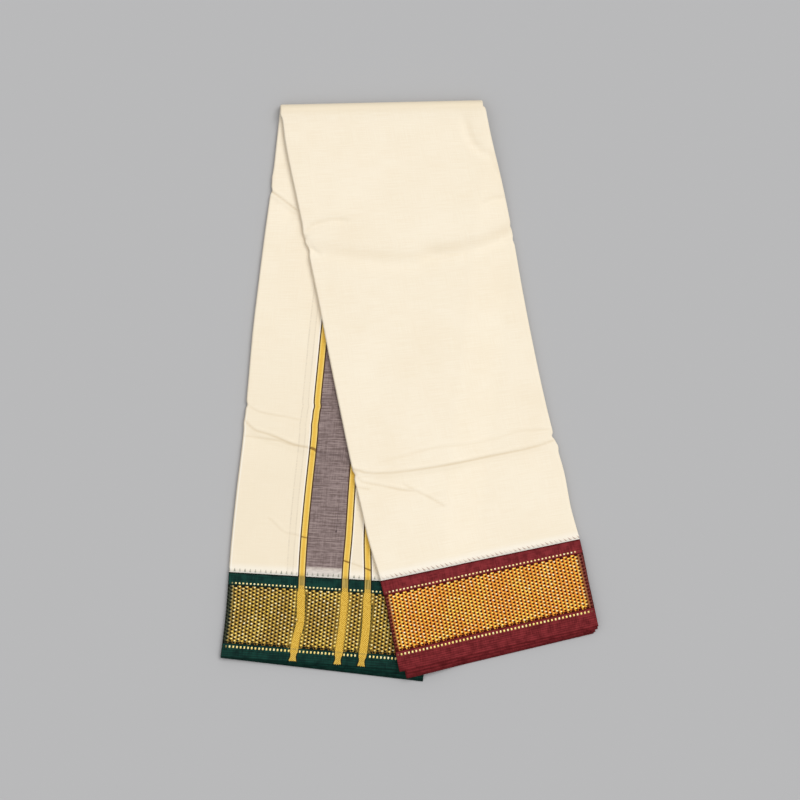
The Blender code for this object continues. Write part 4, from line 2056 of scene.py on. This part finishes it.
@dataclass(frozen=True)
class Ring:
    """One ring of a stitch: corners on an ellipse or a square, at one height.

    Args:
        x: X of its middle, as a share of the pitch.
        y: Y of its middle, as a share of the pitch.
        wide: Half its width, as a share of the pitch.
        tall: Half its height, as a share of the pitch.
        rise: Height above the cloth.
        square: 1 for a square ring, 0 for a round one.
        lean: How much narrower its lower end is than its upper end.
    """

    x: float
    y: float
    wide: float
    tall: float
    rise: float
    square: float = 0.0
    lean: float = 0.0

    def corners(self, count: int, pitch_along: float,
                pitch_run: float) -> list[tuple[float, float, float]]:
        """The ring's corners.

        Args:
            count: How many there are.
            pitch_along: Distance between columns.
            pitch_run: Distance between rows.

        Returns:
            Their places.
        """
        made = []
        for step in range(count):
            angle = 2.0 * math.pi * step / count
            along, up = math.cos(angle), math.sin(angle)
            reach = 1.0 + self.square * (1.0 / max(abs(along), abs(up)) - 1.0)
            narrow = 1.0 + self.lean * up * reach
            made.append(((self.x + self.wide * along * reach * narrow) * pitch_along,
                         (self.y + self.tall * up * reach) * pitch_run,
                         0.5 * CLOTH_THICKNESS + self.rise))
        return made


@dataclass(frozen=True)
class Stitch:
    """A part of a woven motif: rings joined one to the next, from the outside in.

    Args:
        rings: The rings.
        filled: True if the last ring is filled.
        tone: How bright its thread is, from 0 to 1, and up to 2 for the pale dots.
        corners: Corners of each ring.
    """

    rings: tuple[Ring, ...]
    filled: bool
    tone: float
    corners: int = 8


def woven_motif(name: str, stitches: Sequence[Stitch], pitch_along: float,
                pitch_run: float) -> Piece:
    """Make the mesh of a motif.

    Args:
        name: Its name.
        stitches: Its parts.
        pitch_along: Distance between columns.
        pitch_run: Distance between rows, negative to turn the motif round.

    Returns:
        An object outside the scene.
    """
    verts: list[tuple[float, float, float]] = []
    faces: list[list[int]] = []
    tones: list[float] = []
    for stitch in stitches:
        first = len(verts)
        count = stitch.corners
        for ring in stitch.rings:
            verts += ring.corners(count, pitch_along, pitch_run)
        for ring in range(len(stitch.rings) - 1):
            inner = first + ring * count
            for step in range(count):
                after = (step + 1) % count
                faces.append([inner + step, inner + after, inner + count + after,
                              inner + count + step])
        if stitch.filled:
            faces.append(list(range(len(verts) - count, len(verts))))
        tones += [stitch.tone] * (len(verts) - first)
    if pitch_run < 0.0:
        faces = [face[::-1] for face in faces]
    mesh = bpy.data.meshes.new(name)
    mesh.from_pydata(verts, [], faces)
    tone = mesh.attributes.new("tone", "FLOAT", "POINT")
    tone.data.foreach_set("value", tones)
    mesh.shade_smooth()
    return bpy.data.objects.new(name, mesh)


NET_CELL = (
    Stitch((Ring(0.0, 0.0, 0.50, 0.50, 0.02 * MM, square=1.0),
            Ring(0.10, -0.18, 0.40, 0.37, 0.10 * MM, lean=0.2),
            Ring(0.10, -0.18, 0.35, 0.32, -0.05 * MM, lean=0.4)), filled=False, tone=0.0),
    Stitch((Ring(-0.14, 0.25, 0.34, 0.27, -0.02 * MM),
            Ring(-0.14, 0.26, 0.22, 0.17, 0.22 * MM)), filled=True, tone=1.0, corners=6),
)
UPPER_DOT = (
    Stitch((Ring(0.0, 0.0, 0.24, 0.24, -0.03 * MM, square=0.7),
            Ring(0.0, 0.0, 0.16, 0.16, 0.16 * MM, square=0.5)), filled=True, tone=2.0),
)
LOWER_DOT = (
    Stitch((Ring(0.0, 0.0, 0.23, 0.32, -0.03 * MM, square=0.9),
            Ring(0.0, 0.0, 0.15, 0.23, 0.16 * MM, square=0.8)), filled=True, tone=1.5),
)


@dataclass(frozen=True)
class Ground:
    """The cream ground of one half, with the folded edges that show at its right side.

    Args:
        cloth: The form that it follows.
        half: Which half it is.
        grain: How finely it is divided across.
        rows: How finely it is divided along.
    """

    cloth: FoldedCloth
    half: Half
    grain: LeafGrain
    rows: RowGrain

    def span(self) -> tuple[float, float]:
        """The runs at which the ground of this half starts and ends."""
        if self.half is Half.LOWER:
            return self.cloth.seam_run(Half.LOWER), LOWER_LENGTH
        return LOWER_LENGTH, self.cloth.seam_run(Half.UPPER)

    def build(self, material: Finish) -> list[Piece]:
        """Args:
            material: The ground's finish.

        Returns:
            The pieces.
        """
        start, end = self.span()
        node = self.half.value + "_ground"
        runs = self.rows.runs(start, end, self.cloth)
        leaf = Sheet(self.half.value + "_ground_sheet", self.cloth, runs, [leaf_path(self.grain)])
        face = leaf.thicken(leaf.surface(), material)
        edge_runs = RowGrain(coarse=4.0 * MM, fine=2.4 * MM).runs(start, end, self.cloth)
        edges = Sheet(self.half.value + "_ground_edges", self.cloth, edge_runs, edge_paths())
        side = edges.thicken(edges.surface(), material)
        for piece in (face, side):
            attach(piece, BODY)
            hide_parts(node)
        return [face, side]


@dataclass(frozen=True)
class Border:
    """The border of one half, with its gold net and its rows of dots.

    Args:
        cloth: The form that it follows.
        half: Which half it is.
        grain: How finely its outer sheet is divided across.
        plan: Where its parts lie.
        name: The border's name, which is its node's.
        seed: Seed of its gold stitches.
        pitch: Distance between the cells of its gold net.
    """

    cloth: FoldedCloth
    half: Half
    grain: LeafGrain
    plan: BorderPlan
    name: str
    seed: int
    pitch: float = 4.15 * MM

    def hem_run(self) -> float:
        """The run of the hem."""
        return 0.0 if self.half is Half.LOWER else CLOTH_WIDTH

    def run_at(self, from_hem: float) -> float:
        """The run at a distance from the hem, given in millimetres."""
        inward = 1.0 if self.half is Half.LOWER else -1.0
        return self.hem_run() + inward * from_hem * MM

    def runs(self, step: float) -> Array:
        """The rows of the border's sheets."""
        start, end = sorted((self.hem_run(), self.cloth.seam_run(self.half)))
        return np.linspace(start, end, max(2, round((end - start) / step)) + 1)

    def build(self, cotton: BorderCotton, inner_cotton: BorderCotton,
              gold: GoldThread) -> list[Piece]:
        """Args:
            cotton: Finish of the outer sheet.
            inner_cotton: Finish of the layers inside it.
            gold: Finish of the gold thread.

        Returns:
            The pieces.
        """
        path = leaf_path(self.grain)
        leaf = Sheet(self.name + "_sheet", self.cloth, self.runs(1.9 * MM), [path])
        surface = leaf.surface()
        gold_pieces = self.gold_pieces(surface, path, gold.material(path.fold_distance()))
        face = leaf.thicken(surface, cotton.material(self.plan, self.hem_run()))
        inner = Sheet(self.name + "_layers", self.cloth, self.runs(9.0 * MM), [inner_path(26, 7)])
        layers = inner.thicken(inner.surface(), inner_cotton.material(self.plan, self.hem_run()))
        pieces = [face, layers, *gold_pieces]
        for piece in pieces:
            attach(piece, BODY)
            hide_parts(self.name)
        return pieces

    def gold_pieces(self, surface: Piece, path: LayerPath, material: Finish) -> list[Piece]:
        """Weave the gold net and the rows of dots onto the outer sheet.

        Args:
            surface: The sheet's middle surface.
            path: Its path.
            material: The gold thread.

        Returns:
            The net and the two rows of dots.
        """
        along = path.spots().along[0]
        start = along[0] + 0.8 * self.pitch
        columns = int((along[-1] - along[0] - 1.6 * self.pitch) / self.pitch)
        inward = 1.0 if self.half is Half.LOWER else -1.0
        rows = round((self.plan.zari_end - self.plan.zari_start) * MM / self.pitch)
        row_pitch = (self.plan.zari_end - self.plan.zari_start) * MM / rows
        ends = sorted((self.run_at(self.plan.zari_start), self.run_at(self.plan.zari_end)))
        net = WovenRepeat(self.pitch, row_pitch, columns, rows, start, ends[0] + 0.5 * row_pitch,
                          0.5, 5.0, self.seed)
        repeats = [("net", NET_CELL, net)]
        for label, stitch, place in (("lower_dots", LOWER_DOT, self.plan.lower_dots),
                                     ("upper_dots", UPPER_DOT, self.plan.upper_dots)):
            row = WovenRepeat(self.pitch, row_pitch, columns, 1, start, self.run_at(place),
                              0.0, 5.0, self.seed)
            repeats.append((label, stitch, row))
        made = []
        for label, stitches, repeat in repeats:
            motif = woven_motif(f"{self.name}_{label}_motif", stitches, self.pitch,
                                inward * row_pitch)
            made.append(repeat.build(f"{self.name}_{label}", surface, motif, material))
            bpy.data.objects.remove(motif)
        return made


@dataclass(frozen=True)
class Studio:
    """The plain floor, the soft light and the camera.

    Args:
        overhead: Strength of the soft light from straight above.
        horizon: Strength of the soft light from the sides.
        key: Light that the key light adds to a level surface.
        key_from: Direction of the key light.
        key_softness: Angle that the key light fills, in degrees.
        floor_shade: How the floor looks.
        view_centre: Middle of the view on the surface.
        view_width: Width of the view on the surface.
        view_height: Height of the camera.
    """

    overhead: float = 1.03
    horizon: float = 0.22
    key: float = 0.40
    key_from: tuple[float, float, float] = (0.38, 0.33, 0.86)
    key_softness: float = 32.0
    floor_shade: Shade = Shade(184, 184, 185)
    view_centre: tuple[float, float] = (-10.5 * MM, -10.9 * MM)
    view_width: float = 900.0 * MM
    view_height: float = 4.0

    def build(self) -> None:
        """Set up the floor, the light and the camera."""
        self.lights()
        self.floor()
        self.camera()
        bpy.context.scene.view_settings.view_transform = "Standard"

    def lights(self) -> None:
        """Set up a soft light that is strongest overhead, and one soft key light."""
        world = bpy.data.worlds.new("studio")
        world.use_nodes = True
        tree = world.node_tree
        direction = tree.nodes.new("ShaderNodeTexCoord").outputs["Generated"]
        parts = tree.nodes.new("ShaderNodeSeparateXYZ")
        tree.links.new(direction, parts.inputs[0])
        rise = tree.nodes.new("ShaderNodeMapRange")
        rise.inputs["To Min"].default_value = self.horizon
        rise.inputs["To Max"].default_value = self.overhead
        tree.links.new(parts.outputs[2], rise.inputs["Value"])
        background = tree.nodes["Background"]
        background.inputs["Color"].default_value = (1.0, 1.0, 1.0, 1.0)
        tree.links.new(rise.outputs[0], background.inputs["Strength"])
        bpy.context.scene.world = world
        sun = bpy.data.lights.new("key", "SUN")
        direction = Vector(self.key_from).normalized()
        sun.energy = self.key * math.pi / direction.z
        sun.angle = math.radians(self.key_softness)
        key = add_object("key", sun)
        key.rotation_euler = direction.to_track_quat("Z", "Y").to_euler()

    def floor(self) -> None:
        """Lay the plain floor."""
        sheet = NodeSheet("floor")
        sheet.shader.inputs["Base Color"].default_value = self.floor_shade.albedo()
        sheet.shader.inputs["Roughness"].default_value = 0.9
        sheet.shader.inputs["Specular IOR Level"].default_value = 0.1
        reach, depth = 4.0, -0.2 * MM
        mesh = bpy.data.meshes.new("floor")
        corners = [(-reach, -reach, depth), (reach, -reach, depth), (reach, reach, depth),
                   (-reach, reach, depth)]
        mesh.from_pydata(corners, [], [(0, 1, 2, 3)])
        mesh.materials.append(sheet.material)
        floor = add_object("floor", mesh)

    def camera(self) -> None:
        """Set the camera straight above the cloth."""
        data = bpy.data.cameras.new("camera")
        data.sensor_width = 36.0
        data.lens = data.sensor_width * self.view_height / self.view_width
        data.clip_end = 50.0
        camera = add_object("camera", data)
        camera.location = (*self.view_centre, self.view_height)
        bpy.context.scene.camera = camera


GREEN_COTTON = BorderCotton("green_cotton", light=Shade(18, 61, 52), dark=Shade(5, 37, 33),
                            under_gold=Shade(12, 20, 12), stripe_plain=Shade(140, 118, 50))
GREEN_INNER = replace(GREEN_COTTON, name="green_cotton_inner", gold=Shade(150, 122, 60))
# The fourth shade of each gold thread is its painted shade near the folded sides.
GREEN_GOLD = GoldThread("green_border_gold", Shade(252, 218, 92), Shade(148, 110, 24),
                        Shade(50, 56, 34), Shade(246, 226, 150))
MAROON_COTTON = BorderCotton("maroon_cotton", light=Shade(136, 46, 50), dark=Shade(98, 26, 30),
                             under_gold=Shade(66, 6, 4), stripe_plain=Shade(150, 104, 52))
MAROON_INNER = replace(MAROON_COTTON, name="maroon_cotton_inner", gold=Shade(180, 122, 50))
MAROON_GOLD = GoldThread("maroon_border_gold", Shade(255, 234, 92), Shade(226, 132, 18),
                         Shade(112, 40, 28), Shade(255, 226, 150))
GREEN_PLAN = BorderPlan(lower_dots=12.4, zari_start=16.3, zari_end=81.6, upper_dots=84.4,
                        depth=96.5)
MAROON_PLAN = BorderPlan(lower_dots=19.6, zari_start=24.0, zari_end=90.0, upper_dots=93.2,
                         depth=107.1)


def main() -> None:
    """Build the cloth and the studio."""
    logging.basicConfig(level=logging.INFO, format="%(message)s")
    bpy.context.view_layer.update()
    cloth = FoldedCloth(
        HalfPlan(LOWER_SECTIONS, LOWER_CREASES, LOWER_NICKS, LOWER_LENGTH, LOWER_SEAM,
                 fan=(1.5 * MM, 11.2 * MM), draw_in=(0.0, 0.0), face_level=0.0),
        HalfPlan(UPPER_SECTIONS, UPPER_CREASES, UPPER_NICKS, UPPER_LENGTH, UPPER_SEAM,
                 fan=(9.8 * MM, 7.4 * MM), draw_in=(9.0 * MM, 5.0 * MM), face_level=1.0))
    cream = GroundCotton().material(cloth)
    rows = RowGrain(coarse=5.0 * MM, fine=0.74 * MM)
    lower_grain = LeafGrain(first=84, second=20)
    upper_grain = LeafGrain(first=20, second=84)
    assemblies = [
        Ground(cloth, Half.LOWER, lower_grain, rows).build(cream),
        Ground(cloth, Half.UPPER, upper_grain, rows).build(cream),
        Border(cloth, Half.LOWER, lower_grain, GREEN_PLAN, "green_border", 11).build(
            GREEN_COTTON, GREEN_INNER, GREEN_GOLD),
        Border(cloth, Half.UPPER, upper_grain, MAROON_PLAN, "maroon_border", 23).build(
            MAROON_COTTON, MAROON_INNER, MAROON_GOLD),
    ]
    for pieces in assemblies:
        for piece in pieces:
            logging.info("%s: %d faces", piece.name, len(piece.data.polygons))
    Studio().build()


if __name__ == "__main__":
    main()
